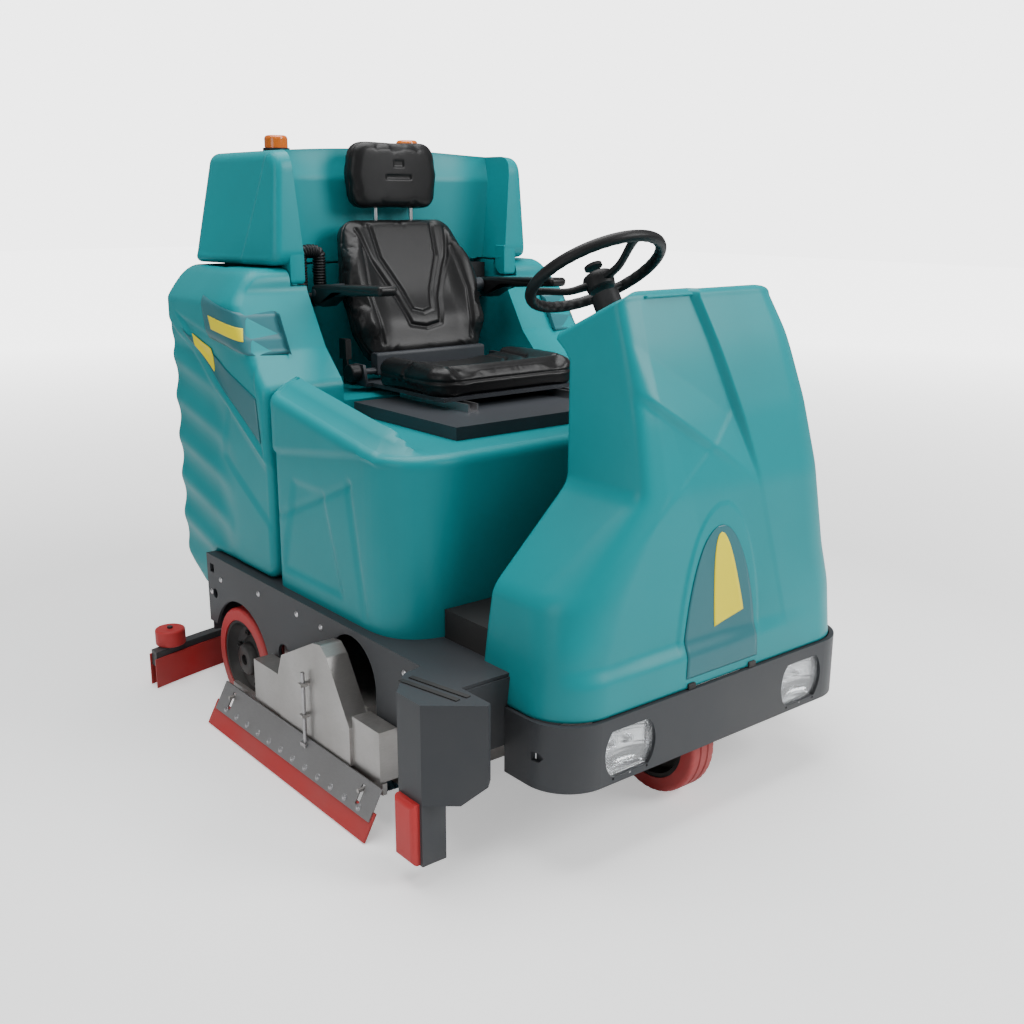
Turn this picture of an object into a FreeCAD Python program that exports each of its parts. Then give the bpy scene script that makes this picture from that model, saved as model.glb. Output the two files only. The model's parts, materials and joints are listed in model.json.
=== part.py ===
import FreeCAD, Part
import math
import os
from FreeCAD import Rotation, Vector

# Ride-on floor scrubber. Millimetres, +Z up, the machine drives towards -Y and +X is the
# driver's left. The origin lies on the floor under the middle of the machine.
# A station is a distance behind the front face of the bumper.

os.makedirs("parts", exist_ok=True)

# ---- driving dimensions: whole machine ----
LENGTH = 1640.0
CHASSIS_HALF = 590.0
DECK_TOP = 410.0
CHASSIS_LOW = 210.0
CHASSIS_FRONT = 190.0
CHASSIS_REAR = 1394.0
REAR_PLATE_LOW = 180.0
FRONT_AXLE = 185.0
REAR_AXLE = 1198.0
PLATE = 8.0
NOSE_HALF = 452.0
NOSE_FRONT = 20.0
NOSE_CORNER = 130.0
RUN_FIT = 0.05
SEAT_GAP = 0.3

# ---- wheels ----
REAR_TYRE_R = 147.0
REAR_TYRE_W = 75.0
REAR_RIM_R = 112.0
FRONT_TYRE_R = 140.0
FRONT_TYRE_W = 78.0
FRONT_RIM_R = 104.0
REAR_STUB_R = 15.0
FRONT_STUB_R = 14.0
ARCH_GAP = 18.0
TIE_S = 1350.0
TIE_Z = 300.0
TIE_R = 14.0
AXLE_BEAM_HALF = 505.0
AXLE_BEAM_SIDE = 60.0
TREAD_GROOVE = 3.0

# ---- bumper, lamps and step ----
BUMPER_HALF = 480.0
BUMPER_LOW = 188.0
BUMPER_TOP = 337.0
BUMPER_CORNER = 109.0
BUMPER_WALL = 12.0
LAMP_X = 286.0
LAMP_Z = 256.0
LAMP_W = 148.0
LAMP_H = 105.0
LAMP_DEPTH = 62.0
LAMP_GAP = 0.5
STEP_OUT = 705.0
STEP_FRONT = 171.0
STEP_REAR = 255.0
STEP_DIAGONAL_X = 601.0
STEP_DIAGONAL_S = 85.0
STEP_BACK_X = 640.0
STEP_BACK_S = 325.0
STEP_LEG_W = 60.0
STEP_LEG_LOW = 50.0
STEP_BOX_LOW = 190.0
STEP_WALL = 4.0
BUFFER_T = 18.0
TREAD_T = 2.5

# ---- steering ----
YAW_R = 40.0
YAW_TUBE_R = 60.0
YAW_TUBE_LOW = 332.0
FORK_TOP = 300.0
FORK_T = 12.0
MOTOR_R = 45.0
MOTOR_OUT = 150.0
WHEEL_S = 448.0
WHEEL_Z = 1208.0
WHEEL_R = 176.0
WHEEL_GRIP_R = 14.0
COLUMN_TILT = 33.0
COLUMN_R = 34.0
COLUMN_LENGTH = 400.0
HUB_R = 38.0

# ---- front cowl and footwell ----
COWL_WALL = 6.0
COWL_LOW = 339.0
COWL_REAR = 275.0
COWL_LIP = 335.0
COWL_CREST_Z = 1190.0
COWL_CREST_S = 117.0
COWL_TOP_FALL = 24.7
MAT_TOP = 478.0
MAT_HALF = 450.0
DASH_LOW = 930.0
DASH_TOP = 1068.0
DASH_T = 14.0

# ---- tanks ----
TANK_HALF = 570.0
SOLUTION_FRONT = 442.0
SOLUTION_REAR = 1034.0
SOLUTION_TOP = 830.0
SOLUTION_CORNER = 170.0
SHOULDER_IN = 480.0
WELL_HALF = 318.0
WELL_FRONT = 540.0
WELL_REAR = 960.0
WELL_LOW = 430.0
TANK_WALL = 8.0
FILLER_R = 40.0
RECOVERY_FRONT = 1040.0
RECOVERY_TOP = 1195.0
RECESS_S = 1362.0
RECESS_HALF = 335.0
RECESS_LOW = 870.0
TAIL_FRONT = 1402.0
LID_FRONT = 1213.0
LID_LOW = 1199.0
LID_TOP = 1490.0
LID_CROWN = 22.0
ARM_TIP = 1152.0
ARM_REAR = 1262.0
ARM_OUT = 382.0
HINGE_S = 1622.0
HINGE_Z = 1196.0
HINGE_PIN_R = 8.0
BEACON_X = 225.0
BEACON_S = 1557.0
BEACON_TOP = 1547.0
BEACON_R = 38.0

# ---- seat ----
SEAT_PLATE_TOP = 862.0
SEAT_PLATE_HALF = 325.0
SEAT_PLATE_FRONT = 560.0
SEAT_PLATE_REAR = 1010.0
RAIL_X = 170.0
RAIL_H = 20.0
PAN_T = 10.0
CUSHION_HALF = 240.0
CUSHION_FRONT = 745.0
CUSHION_REAR = 1105.0
CUSHION_T = 75.0
BACK_S = 1086.0
BACK_Z = 944.0
BACK_TILT = 22.6
BACK_LENGTH = 435.0
BACK_T = 90.0
BACK_HALF = 225.0
HEAD_S = 1262.0
HEAD_LOW = 1352.0
HEAD_TOP = 1530.0
HEAD_T = 74.0
HEAD_HALF = 147.0
POST_R = 6.0
POST_X = 60.0
ARM_X = 254.0
ARM_W = 56.0
ARM_PIVOT_S = 1222.0
ARM_PIVOT_Z = 1128.0
ARM_PIVOT_R = 10.0

# ---- scrub head ----
BRUSH_FRONT = 585.0
BRUSH_REAR = 855.0
BRUSH_R = 93.0
BRUSH_Z = 94.0
BRUSH_HALF = 540.0
BRUSH_SHAFT_R = 12.0
HEAD_HALF_WIDTH = 560.0
HEAD_FRONT = 440.0
HEAD_REAR = 1010.0
HEAD_PLATE_TOP = 240.0
HEAD_PLATE_T = 8.0
HEAD_SKIRT_LOW = 60.0
GUIDE_X = 300.0
GUIDE_S = 720.0
GUIDE_R = 12.0
COVER_OUT = 650.0
COVER_IN = 594.0
COVER_LOW = 112.0
ARCH_S = 620.0
ARCH_R = 103.0
ARCH_TOP = 393.0
SKIRT_TOP_X = 652.0
SKIRT_TOP_Z = 113.0
SKIRT_LOW_X = 688.0
SKIRT_LOW_Z = 45.0
SKIRT_FRONT = 400.0
SKIRT_REAR = 1168.0
SKIRT_T = 4.0
SKIRT_BLADE_T = 5.0
BLADE_START = 0.72
BLADE_REACH = 1.61
SLOT_SIDE = 62.0

# ---- rear squeegee ----
SQUEEGEE_HALF = 725.0
SQUEEGEE_SAG = 110.0
SQUEEGEE_BODY_T = 34.0
SQUEEGEE_BODY_LOW = 62.0
SQUEEGEE_BODY_TOP = 108.0
BLADE_T = 4.0
BLADE_LOW = 2.0
BLADE_TOP = 95.0
ROLLER_INSET = 70.0
ROLLER_X = SQUEEGEE_HALF - ROLLER_INSET
INLET_INSET = 34.0
INLET_R = 26.0
ROLLER_R = 43.0
ROLLER_H = 48.0
LIFT_S = 1430.0
LIFT_Z = 215.0
LIFT_PIN_R = 10.0
SWING_S = 1545.0
SWING_PIN_R = 14.0


def y_at(station):
    return station - LENGTH / 2


def box(x0, x1, s0, s1, z0, z1):
    corner = Vector(x0, y_at(s0), z0)
    return Part.makeBox(x1 - x0, s1 - s0, z1 - z0, corner)


def slab(half, s0, s1, z0, z1):
    return box(-half, half, s0, s1, z0, z1)


def rod_x(x0, x1, station, z, radius):
    return Part.makeCylinder(radius, x1 - x0, Vector(x0, y_at(station), z), Vector(1, 0, 0))


def rod_y(x, s0, s1, z, radius):
    return Part.makeCylinder(radius, s1 - s0, Vector(x, y_at(s0), z), Vector(0, 1, 0))


def rod_z(x, station, z0, z1, radius):
    return Part.makeCylinder(radius, z1 - z0, Vector(x, y_at(station), z0), Vector(0, 0, 1))


def closed_face(points):
    return Part.Face(Part.makePolygon(points + [points[0]]))


def side_prism(outline, x0, x1):
    """Station and height pairs, drawn from the side and carried from x0 to x1."""
    face = closed_face([Vector(x0, y_at(s), z) for s, z in outline])
    return face.extrude(Vector(x1 - x0, 0, 0))


def plan_prism(outline, z0, z1):
    """Cross and station pairs, drawn from above and carried from z0 to z1."""
    face = closed_face([Vector(x, y_at(s), z0) for x, s in outline])
    return face.extrude(Vector(0, 0, z1 - z0))


def front_prism(outline, s0, s1):
    """Cross and height pairs, drawn from the front and carried from s0 to s1."""
    face = closed_face([Vector(x, y_at(s0), z) for x, z in outline])
    return face.extrude(Vector(0, s1 - s0, 0))


def joined(shapes):
    return shapes[0].multiFuse(shapes[1:]).removeSplitter()


def mirrored(shape):
    return shape.mirror(Vector(0, 0, 0), Vector(1, 0, 0))


def pair(shape):
    return [shape, mirrored(shape)]


def group(shapes):
    return Part.makeCompound(shapes)


def rounded(shape, radius, wanted):
    """Rounds the edges whose two ends and direction pass the test."""
    edges = [edge for edge in shape.Edges if wanted(edge)]
    return shape.makeFillet(radius, edges) if edges else shape


def along(edge, axis):
    ends = edge.Vertexes
    if len(ends) < 2:
        return False
    run = ends[1].Point - ends[0].Point
    return run.Length > 1 and abs(abs(run.normalize().dot(axis)) - 1) < 1e-6


def upright(edge):
    return along(edge, Vector(0, 0, 1))


def soft_block(x0, x1, s0, s1, z0, z1, radius):
    block = box(x0, x1, s0, s1, z0, z1)
    return block.makeFillet(radius, block.Edges)


def turned(shape, station, z, degrees):
    """Turns about a cross axis; positive leans the top forwards."""
    copy = shape.copy()
    copy.rotate(Vector(0, y_at(station), z), Vector(1, 0, 0), degrees)
    return copy


def save(name, shape):
    if isinstance(shape, list):
        shape = group(shape)
    shape.exportStep("parts/" + name + ".step")


# ---------------------------------------------------------------- chassis
def front_rounded(half, s0, s1, radius, z0, z1):
    """A block whose two front corners are rounded in plan."""
    block = slab(half, s0, s1, z0, z1)
    front = y_at(s0)
    return rounded(block, radius,
                   lambda e: upright(e) and abs(e.Vertexes[0].Y - front) < 1)


def side_plate():
    outline = [(CHASSIS_FRONT, 250), (CHASSIS_FRONT, DECK_TOP), (CHASSIS_REAR, DECK_TOP),
               (CHASSIS_REAR, CHASSIS_LOW), (430, CHASSIS_LOW), (390, 250)]
    plate = side_prism(outline, CHASSIS_HALF - PLATE, CHASSIS_HALF)
    x0 = CHASSIS_HALF - 2 * PLATE
    x1 = CHASSIS_HALF + PLATE
    arch_z = ARCH_TOP - ARCH_R
    cuts = [rod_x(x0, x1, REAR_AXLE, REAR_TYRE_R, REAR_TYRE_R + ARCH_GAP),
            rod_x(x0, x1, ARCH_S, arch_z, ARCH_R),
            box(x0, x1, ARCH_S - ARCH_R, ARCH_S + ARCH_R, CHASSIS_LOW - PLATE, arch_z),
            rod_x(x0, x1, 955, 238, 30),
            box(x0, x1, 1350, 1374, 360, 384),
            rod_x(x0, x1, TIE_S, TIE_Z, TIE_R)]
    return plate.cut(group(cuts))


def chassis_frame():
    inner = CHASSIS_HALF - PLATE
    deck = slab(inner, CHASSIS_FRONT, CHASSIS_REAR, DECK_TOP - PLATE, DECK_TOP)
    nose = front_rounded(NOSE_HALF, NOSE_FRONT, CHASSIS_FRONT, NOSE_CORNER, DECK_TOP - PLATE,
                         DECK_TOP)
    rear = slab(inner, CHASSIS_REAR - PLATE, CHASSIS_REAR, REAR_PLATE_LOW, DECK_TOP - PLATE)
    under = DECK_TOP - PLATE
    half_beam = AXLE_BEAM_SIDE / 2
    beam = slab(AXLE_BEAM_HALF, REAR_AXLE - half_beam, REAR_AXLE + half_beam,
                REAR_TYRE_R - half_beam, REAR_TYRE_R + half_beam)
    parts = [deck, nose, rear, beam]
    parts += pair(side_plate())
    parts += pair(box(430, 450, REAR_AXLE - 60, REAR_AXLE + 60, REAR_TYRE_R, under))
    parts += pair(rod_x(AXLE_BEAM_HALF, CHASSIS_HALF - 14, REAR_AXLE, REAR_TYRE_R, REAR_STUB_R))
    parts += pair(box(300, CHASSIS_HALF, CHASSIS_FRONT - 4, CHASSIS_FRONT + 4, 250, under))
    parts += pair(box(150, 162, BUMPER_WALL, 62, 300, BUMPER_TOP))
    parts += pair(box(150, 162, NOSE_FRONT, 62, BUMPER_TOP, under))
    parts += pair(rod_z(GUIDE_X, GUIDE_S, 250, under, GUIDE_R))
    parts.append(rod_z(0, FRONT_AXLE, YAW_TUBE_LOW, under, YAW_TUBE_R))
    parts += pair(side_prism([(CHASSIS_REAR, 190), (CHASSIS_REAR, 250), (LIFT_S, LIFT_Z + 20),
                              (LIFT_S + 20, LIFT_Z), (LIFT_S, LIFT_Z - 20)], 70, 82))
    frame = joined(parts)
    bores = [rod_z(0, FRONT_AXLE, YAW_TUBE_LOW, under, YAW_R + RUN_FIT)]
    bores.append(rod_x(-90, 90, LIFT_S, LIFT_Z, LIFT_PIN_R + RUN_FIT))
    return frame.cut(group(bores))


def bumper():
    outer = front_rounded(BUMPER_HALF, 0, CHASSIS_FRONT - 4, BUMPER_CORNER,
                          BUMPER_LOW, BUMPER_TOP)
    inner = front_rounded(BUMPER_HALF - BUMPER_WALL, BUMPER_WALL, CHASSIS_FRONT,
                          BUMPER_CORNER - BUMPER_WALL, BUMPER_LOW - 1, BUMPER_TOP + 1)
    cuts = [inner]
    for side in (-1, 1):
        x = side * LAMP_X
        cuts.append(lamp_block(x, LAMP_W, LAMP_H, -1, BUMPER_WALL + 1))
        cuts += [rod_y(x + dx, -1, BUMPER_WALL + 1, BUMPER_LOW + 11, 3) for dx in (-50, 0, 50)]
    cuts.append(side_prism([(66, 262), (78, 270), (98, 270), (98, 250), (78, 250)],
                           -BUMPER_HALF - 1, -BUMPER_HALF + BUMPER_WALL + 1))
    return outer.cut(group(cuts))


def lamp_block(x, width, height, s0, s1):
    """A lamp outline: straight top and bottom, bowed sides."""
    half_w = width / 2
    half_h = height / 2
    bow = 20.0
    corners = [Vector(x - half_w + bow, y_at(s0), LAMP_Z + half_h),
               Vector(x + half_w - bow, y_at(s0), LAMP_Z + half_h),
               Vector(x + half_w - bow, y_at(s0), LAMP_Z - half_h),
               Vector(x - half_w + bow, y_at(s0), LAMP_Z - half_h)]
    right = Vector(x + half_w, y_at(s0), LAMP_Z)
    left = Vector(x - half_w, y_at(s0), LAMP_Z)
    edges = [Part.makeLine(corners[0], corners[1]),
             Part.Arc(corners[1], right, corners[2]).toShape(),
             Part.makeLine(corners[2], corners[3]),
             Part.Arc(corners[3], left, corners[0]).toShape()]
    return Part.Face(Part.Wire(edges)).extrude(Vector(0, s1 - s0, 0))


def headlight_housing(x):
    rim = lamp_block(x, LAMP_W + 18, LAMP_H + 18, BUMPER_WALL, BUMPER_WALL + 4)
    bowl = lamp_block(x, LAMP_W, LAMP_H, BUMPER_WALL + 4, LAMP_DEPTH)
    hollow = lamp_block(x, LAMP_W - 12, LAMP_H - 12, BUMPER_WALL, LAMP_DEPTH - 6)
    return rim.fuse(bowl).cut(hollow)


def headlight_lens(x):
    return lamp_block(x, LAMP_W - 2 * LAMP_GAP, LAMP_H - 2 * LAMP_GAP, 4, BUMPER_WALL)


def step_outline(inset):
    wall = CHASSIS_HALF + inset
    out = STEP_OUT - inset
    return [(-wall, STEP_BACK_S + 10 - inset), (-STEP_BACK_X - inset / 2, STEP_BACK_S - inset),
            (-out, STEP_REAR - inset / 2), (-out, STEP_FRONT + inset / 2),
            (-STEP_DIAGONAL_X + 0.3 * inset, STEP_DIAGONAL_S + inset), (-wall, 92 + inset)]


def step_column():
    body = plan_prism(step_outline(0), STEP_BOX_LOW, DECK_TOP)
    hollow = plan_prism(step_outline(STEP_WALL), STEP_BOX_LOW - 1, DECK_TOP - STEP_WALL)
    slope = front_prism([(-STEP_OUT + STEP_LEG_W, STEP_BOX_LOW - 1), (-CHASSIS_HALF + 1, 245),
                         (-CHASSIS_HALF + 1, STEP_BOX_LOW - 1)], 80, STEP_BACK_S + 20)
    leg = box(-STEP_OUT, -STEP_OUT + STEP_LEG_W, STEP_FRONT, STEP_REAR, STEP_LEG_LOW,
              STEP_BOX_LOW + 60)
    leg_hollow = box(-STEP_OUT + STEP_WALL, -STEP_OUT + STEP_LEG_W - STEP_WALL,
                     STEP_FRONT + STEP_WALL, STEP_REAR - STEP_WALL, STEP_LEG_LOW - 1,
                     STEP_BOX_LOW + 61)
    return body.cut(hollow).cut(slope).fuse(leg).cut(leg_hollow).removeSplitter()


def step_treads():
    strips = []
    for shift in (0, 26):
        strip = box(-672 + shift, -660 + shift, 140, 300, DECK_TOP, DECK_TOP + TREAD_T)
        strip.rotate(Vector(-660 + shift, y_at(300), 0), Vector(0, 0, 1), 12)
        strips.append(strip)
    return strips


def corner_buffer():
    pad = box(-STEP_OUT - BUFFER_T, -STEP_OUT, STEP_FRONT + 8, STEP_REAR - 4, 52, 190)
    face = -STEP_OUT - BUFFER_T
    return rounded(pad, 12, lambda e: min(v.X for v in e.Vertexes) < face + 1
                   and max(v.X for v in e.Vertexes) < face + 1)


# ---------------------------------------------------------------- fasteners
def dome(x, station, z, radius, direction):
    """A low domed bolt head standing on a face."""
    centre = Vector(x, y_at(station), z)
    ball = Part.makeSphere(radius * 1.25, centre - direction * (radius * 0.75))
    cap = Part.makeCylinder(radius, radius, centre, direction)
    return ball.common(cap)


def bolts_and_pins():
    outward = Vector(1, 0, 0)
    bolts = []
    for station, z in ((1372, 300), (1310, 350), (1085, 370), (880, 372), (760, 372), (400, 372)):
        bolts += pair(dome(CHASSIS_HALF, station, z, 8, outward))
    return bolts + lid_hinge_pins()


# ---------------------------------------------------------------- drive and wheels
def revolved_x(outline, station, z):
    """Cross and radius pairs turned about a cross axis."""
    y = y_at(station)
    face = closed_face([Vector(x, y, z + r) for x, r in outline])
    return face.revolve(Vector(0, y, z), Vector(1, 0, 0), 360)


def tyre(x_mid, width, radius, inner, station, z, grooves):
    half = width / 2
    ring = revolved_x([(x_mid - half, inner), (x_mid - half, radius - 8),
                       (x_mid - half + 6, radius), (x_mid + half - 6, radius),
                       (x_mid + half, radius - 8), (x_mid + half, inner)], station, z)
    cuts = []
    for i in range(grooves):
        x = x_mid + (i - (grooves - 1) / 2) * 14
        cuts.append(revolved_x([(x - 2, radius - TREAD_GROOVE), (x - 2, radius + 2),
                                (x + 2, radius + 2), (x + 2, radius - TREAD_GROOVE)],
                               station, z))
    return ring.cut(group(cuts)) if cuts else ring


def rim(x_mid, width, radius, stub, station, z, out):
    """A dished hub: outer ring, web set back from the outer face, and a bossed bore."""
    half = width / 2
    face = x_mid + out * half
    back = x_mid - out * half
    web = face - out * 34
    outline = [(back, radius - 10), (back, radius), (face, radius), (face, radius - 10),
               (web, radius - 16), (web, 44), (face - out * 10, 40), (face - out * 10, stub),
               (back, stub), (back, 44), (web - out * 14, 44), (web - out * 14, radius - 16)]
    wheel = revolved_x(outline, station, z)
    holes = []
    for i in range(5):
        angle = 2 * math.pi * i / 5
        holes.append(rod_x(min(face, back) - 1, max(face, back) + 1,
                           station + 68 * math.cos(angle), z + 68 * math.sin(angle), 7))
    return wheel.cut(group(holes))


def rear_wheel(side):
    x_mid = side * (CHASSIS_HALF - REAR_TYRE_W / 2)
    band = tyre(x_mid, REAR_TYRE_W, REAR_TYRE_R, REAR_RIM_R, REAR_AXLE, REAR_TYRE_R, 0)
    hub = rim(x_mid, REAR_TYRE_W - 8, REAR_RIM_R, REAR_STUB_R + RUN_FIT, REAR_AXLE,
              REAR_TYRE_R, side)
    return band, hub


def steering_fork():
    plate = rod_z(0, FRONT_AXLE, FORK_TOP, FORK_TOP + 16, YAW_TUBE_R + 12)
    kingpin = rod_z(0, FRONT_AXLE, FORK_TOP + 16, DECK_TOP - PLATE - 3, YAW_R)
    arm = box(48, 48 + FORK_T, FRONT_AXLE - 36, FRONT_AXLE + 36, FRONT_TYRE_R - 50, FORK_TOP)
    stub = rod_x(-34, 48, FRONT_AXLE, FRONT_TYRE_R, FRONT_STUB_R)
    return joined([plate, kingpin, arm, stub])


def drive_motor():
    x0 = 48 + FORK_T
    body = rod_x(x0, MOTOR_OUT, FRONT_AXLE, FRONT_TYRE_R, MOTOR_R)
    cap = rod_x(MOTOR_OUT, MOTOR_OUT + 8, FRONT_AXLE, FRONT_TYRE_R, MOTOR_R - 10)
    return body.fuse(cap)


# ---------------------------------------------------------------- steering column
def on_column(shape):
    """Places a shape drawn upright about the wheel centre onto the leaning column axis."""
    copy = shape.copy()
    copy.rotate(Vector(0, 0, 0), Vector(1, 0, 0), -COLUMN_TILT)
    copy.translate(Vector(0, y_at(WHEEL_S), WHEEL_Z))
    return copy


def upright_rod(z0, z1, radius, x=0.0, y=0.0):
    return Part.makeCylinder(radius, z1 - z0, Vector(x, y, z0), Vector(0, 0, 1))


HUB_LOW = -58.0
HUB_TOP = 16.0
HORN_R = 22.0


def steering_wheel():
    ring = Part.makeTorus(WHEEL_R - WHEEL_GRIP_R, WHEEL_GRIP_R)
    hub = upright_rod(HUB_LOW, HUB_TOP, HUB_R)
    parts = [ring, hub]
    for degrees in (-90, 30, 150):
        spoke = Part.makeCylinder(9, WHEEL_R - WHEEL_GRIP_R, Vector(0, 0, -26),
                                  Vector(1, 0, 26 / (WHEEL_R - WHEEL_GRIP_R)))
        spoke.rotate(Vector(0, 0, 0), Vector(0, 0, 1), degrees)
        parts.append(spoke)
    wheel = joined(parts)
    pocket = upright_rod(HUB_TOP - 8, HUB_TOP + 1, HORN_R + SEAT_GAP)
    return on_column(wheel.cut(pocket))


def horn_button():
    return on_column(upright_rod(HUB_TOP - 3.7, HUB_TOP + 4, HORN_R))


def column_drawn():
    return on_column(upright_rod(-COLUMN_LENGTH, HUB_LOW - SEAT_GAP, COLUMN_R))


POST_HALF = 30.0
POST_FRONT = 175.0
POST_REAR = 240.0


def steering_column():
    post = slab(POST_HALF, POST_FRONT, POST_REAR, DECK_TOP, 900)
    foot = slab(POST_HALF + 30, POST_FRONT - 25, POST_REAR, DECK_TOP, DECK_TOP + 8)
    return joined([column_drawn(), post, foot])


# ---------------------------------------------------------------- cowl
COWL_SECTIONS = (
    # height, right half, left half, front station, right corner, left corner, rear station
    (COWL_LOW, 474.0, 474.0, 7.0, 120.0, 120.0, COWL_REAR),
    (575.0, 440.0, 444.0, 9.0, 150.0, 150.0, COWL_REAR),
    (775.0, 232.0, 404.0, 15.0, 60.0, 150.0, COWL_REAR),
    (930.0, 231.0, 372.0, 42.0, 60.0, 140.0, COWL_REAR),
    (1045.0, 231.0, 335.0, 70.0, 60.0, 120.0, COWL_REAR),
    (1088.0, 230.0, 312.0, 82.0, 60.0, 100.0, COWL_LIP),
    (1230.0, 228.0, 232.0, 130.0, 60.0, 60.0, COWL_LIP),
)


def cowl_wire(height, right, left, front, right_r, left_r, rear, inset):
    """One level outline: two straight sides and a front joined by rounded corners."""
    x0 = -right + inset
    x1 = left - inset
    y0 = y_at(front + inset)
    y1 = y_at(rear + (20 if inset else 0))
    r0 = right_r - inset
    r1 = left_r - inset
    turn = math.sqrt(0.5)
    points = [Vector(x0, y1, height), Vector(x0, y0 + r0, height),
              Vector(x0 + r0 - r0 * turn, y0 + r0 - r0 * turn, height),
              Vector(x0 + r0, y0, height), Vector(x1 - r1, y0, height),
              Vector(x1 - r1 + r1 * turn, y0 + r1 - r1 * turn, height),
              Vector(x1, y0 + r1, height), Vector(x1, y1, height)]
    edges = [Part.makeLine(points[0], points[1]),
             Part.Arc(points[1], points[2], points[3]).toShape(),
             Part.makeLine(points[3], points[4]),
             Part.Arc(points[4], points[5], points[6]).toShape(),
             Part.makeLine(points[6], points[7]),
             Part.makeLine(points[7], points[0])]
    return Part.Wire(edges)


def cowl_loft(inset):
    wires = []
    for level in COWL_SECTIONS:
        wires.append(cowl_wire(*level, inset))
    body = Part.makeLoft(wires, True, True)
    if inset:
        skirt = Part.Face(wires[0]).extrude(Vector(0, 0, -20))
        body = body.fuse(skirt)
    crest = box(-600, 600, COWL_CREST_S - 300, COWL_CREST_S + 500, COWL_CREST_Z - inset,
                COWL_CREST_Z + 400)
    crest = turned(crest, COWL_CREST_S, COWL_CREST_Z - inset, -COWL_TOP_FALL)
    return body.cut(crest)


def front_cowl():
    shell = cowl_loft(0).cut(cowl_loft(COWL_WALL))
    notch = on_column(upright_rod(-260, -100, COLUMN_R + 10))
    flat = box(-COLUMN_R - 10, COLUMN_R + 10, 290, COWL_LIP + 30, 1020, 1130)
    under = slab(CHASSIS_HALF, CHASSIS_FRONT - 6, COWL_LIP, COWL_LOW - 1, DECK_TOP)
    return shell.cut(notch.fuse(flat)).cut(under)


def dash_panel():
    panel = slab(400, COWL_REAR - DASH_T, COWL_REAR, DASH_LOW, DASH_TOP)
    panel_hole_low, panel_hole_room = 60, 6
    hole = upright_rod(-COLUMN_LENGTH - panel_hole_low, 0, COLUMN_R + panel_hole_room)
    panel = panel.common(cowl_loft(COWL_WALL)).cut(on_column(hole))
    return panel


STOP_X = 150.0
KEY_X = -120.0
BUTTON_Z = 1010.0


def instrument_panel():
    panel = dash_panel()
    face = COWL_REAR
    display = box(-205, -150, face, face + 8, 985, 1050)
    collar = rod_y(STOP_X, face, face + 8, BUTTON_Z, 20)
    lock = rod_y(KEY_X, face, face + 8, BUTTON_Z, 13)
    cluster = box(200, 280, face, face + 10, 975, 1050)
    panel = joined([panel, display, collar, lock, cluster])
    bores = [rod_y(STOP_X, face - 8, face + 9, BUTTON_Z, 8 + RUN_FIT),
             rod_y(KEY_X, face - 8, face + 9, BUTTON_Z, 5 + RUN_FIT)]
    return panel.cut(group(bores))


STOP_TRAVEL = 5.0


def emergency_stop():
    face = COWL_REAR + 8
    stem = rod_y(STOP_X, face - 6, face + STOP_TRAVEL + 2, BUTTON_Z, 8)
    head = rod_y(STOP_X, face + STOP_TRAVEL + 1, face + STOP_TRAVEL + 15, BUTTON_Z, 18)
    return stem.fuse(head)


def ignition_key():
    face = COWL_REAR + 8
    stem = rod_y(KEY_X, face - 12, face + 10, BUTTON_Z, 5)
    bow = box(KEY_X - 11, KEY_X + 11, face + 10, face + 30, BUTTON_Z - 2, BUTTON_Z + 2)
    return stem.fuse(bow)


LEVER_DROP = -140.0


def direction_lever():
    """A stalk in a collar that turns about the column."""
    ring = upright_rod(LEVER_DROP - 9, LEVER_DROP + 9, COLUMN_R + 9)
    ring = ring.cut(upright_rod(LEVER_DROP - 10, LEVER_DROP + 10, COLUMN_R + RUN_FIT))
    stalk = Part.makeCylinder(5, 92, Vector(COLUMN_R + 5, 0, LEVER_DROP), Vector(1, 0, 0.25))
    end = Vector(COLUMN_R + 5 + 88, 0, LEVER_DROP + 22)
    return on_column(joined([ring, stalk, Part.makeSphere(11, end)]))


# ---------------------------------------------------------------- footwell
PEDAL_S = 262.0
PEDAL_Z = 505.0
PEDAL_PIN_R = 8.0
PEDALS = (("accelerator_pedal", -130.0, 80.0), ("brake_pedal", 120.0, 110.0))


def floor_mat():
    mat = slab(MAT_HALF, COWL_REAR + 3, SOLUTION_FRONT - 2, DECK_TOP, MAT_TOP)
    toe = slab(415, POST_REAR + 2, COWL_REAR + 3, DECK_TOP, MAT_TOP)
    parts = [mat, toe]
    for name, x, width in PEDALS:
        for side in (-1, 1):
            x0 = x + side * 18 - 3
            parts.append(side_prism([(PEDAL_S - 12, MAT_TOP), (PEDAL_S - 12, PEDAL_Z + 10),
                                     (PEDAL_S + 12, PEDAL_Z + 10), (PEDAL_S + 12, MAT_TOP)],
                                    x0, x0 + 6))
    mat = joined(parts)
    bores = [rod_x(x - 30, x + 30, PEDAL_S, PEDAL_Z, PEDAL_PIN_R + RUN_FIT)
             for name, x, width in PEDALS]
    return mat.cut(group(bores))


def pedal(x, width):
    pin = rod_x(x - 26, x + 26, PEDAL_S, PEDAL_Z, PEDAL_PIN_R)
    web = side_prism([(PEDAL_S - 7, PEDAL_Z), (PEDAL_S + 7, PEDAL_Z), (PEDAL_S + 24, PEDAL_Z + 62),
                      (PEDAL_S + 10, PEDAL_Z + 66)], x - 12, x + 12)
    pad = side_prism([(PEDAL_S + 2, PEDAL_Z + 62), (PEDAL_S + 12, PEDAL_Z + 55),
                      (PEDAL_S - 38, PEDAL_Z + 190), (PEDAL_S - 47, PEDAL_Z + 186)],
                     x - width / 2, x + width / 2)
    return joined([pin, web, pad])


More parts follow.
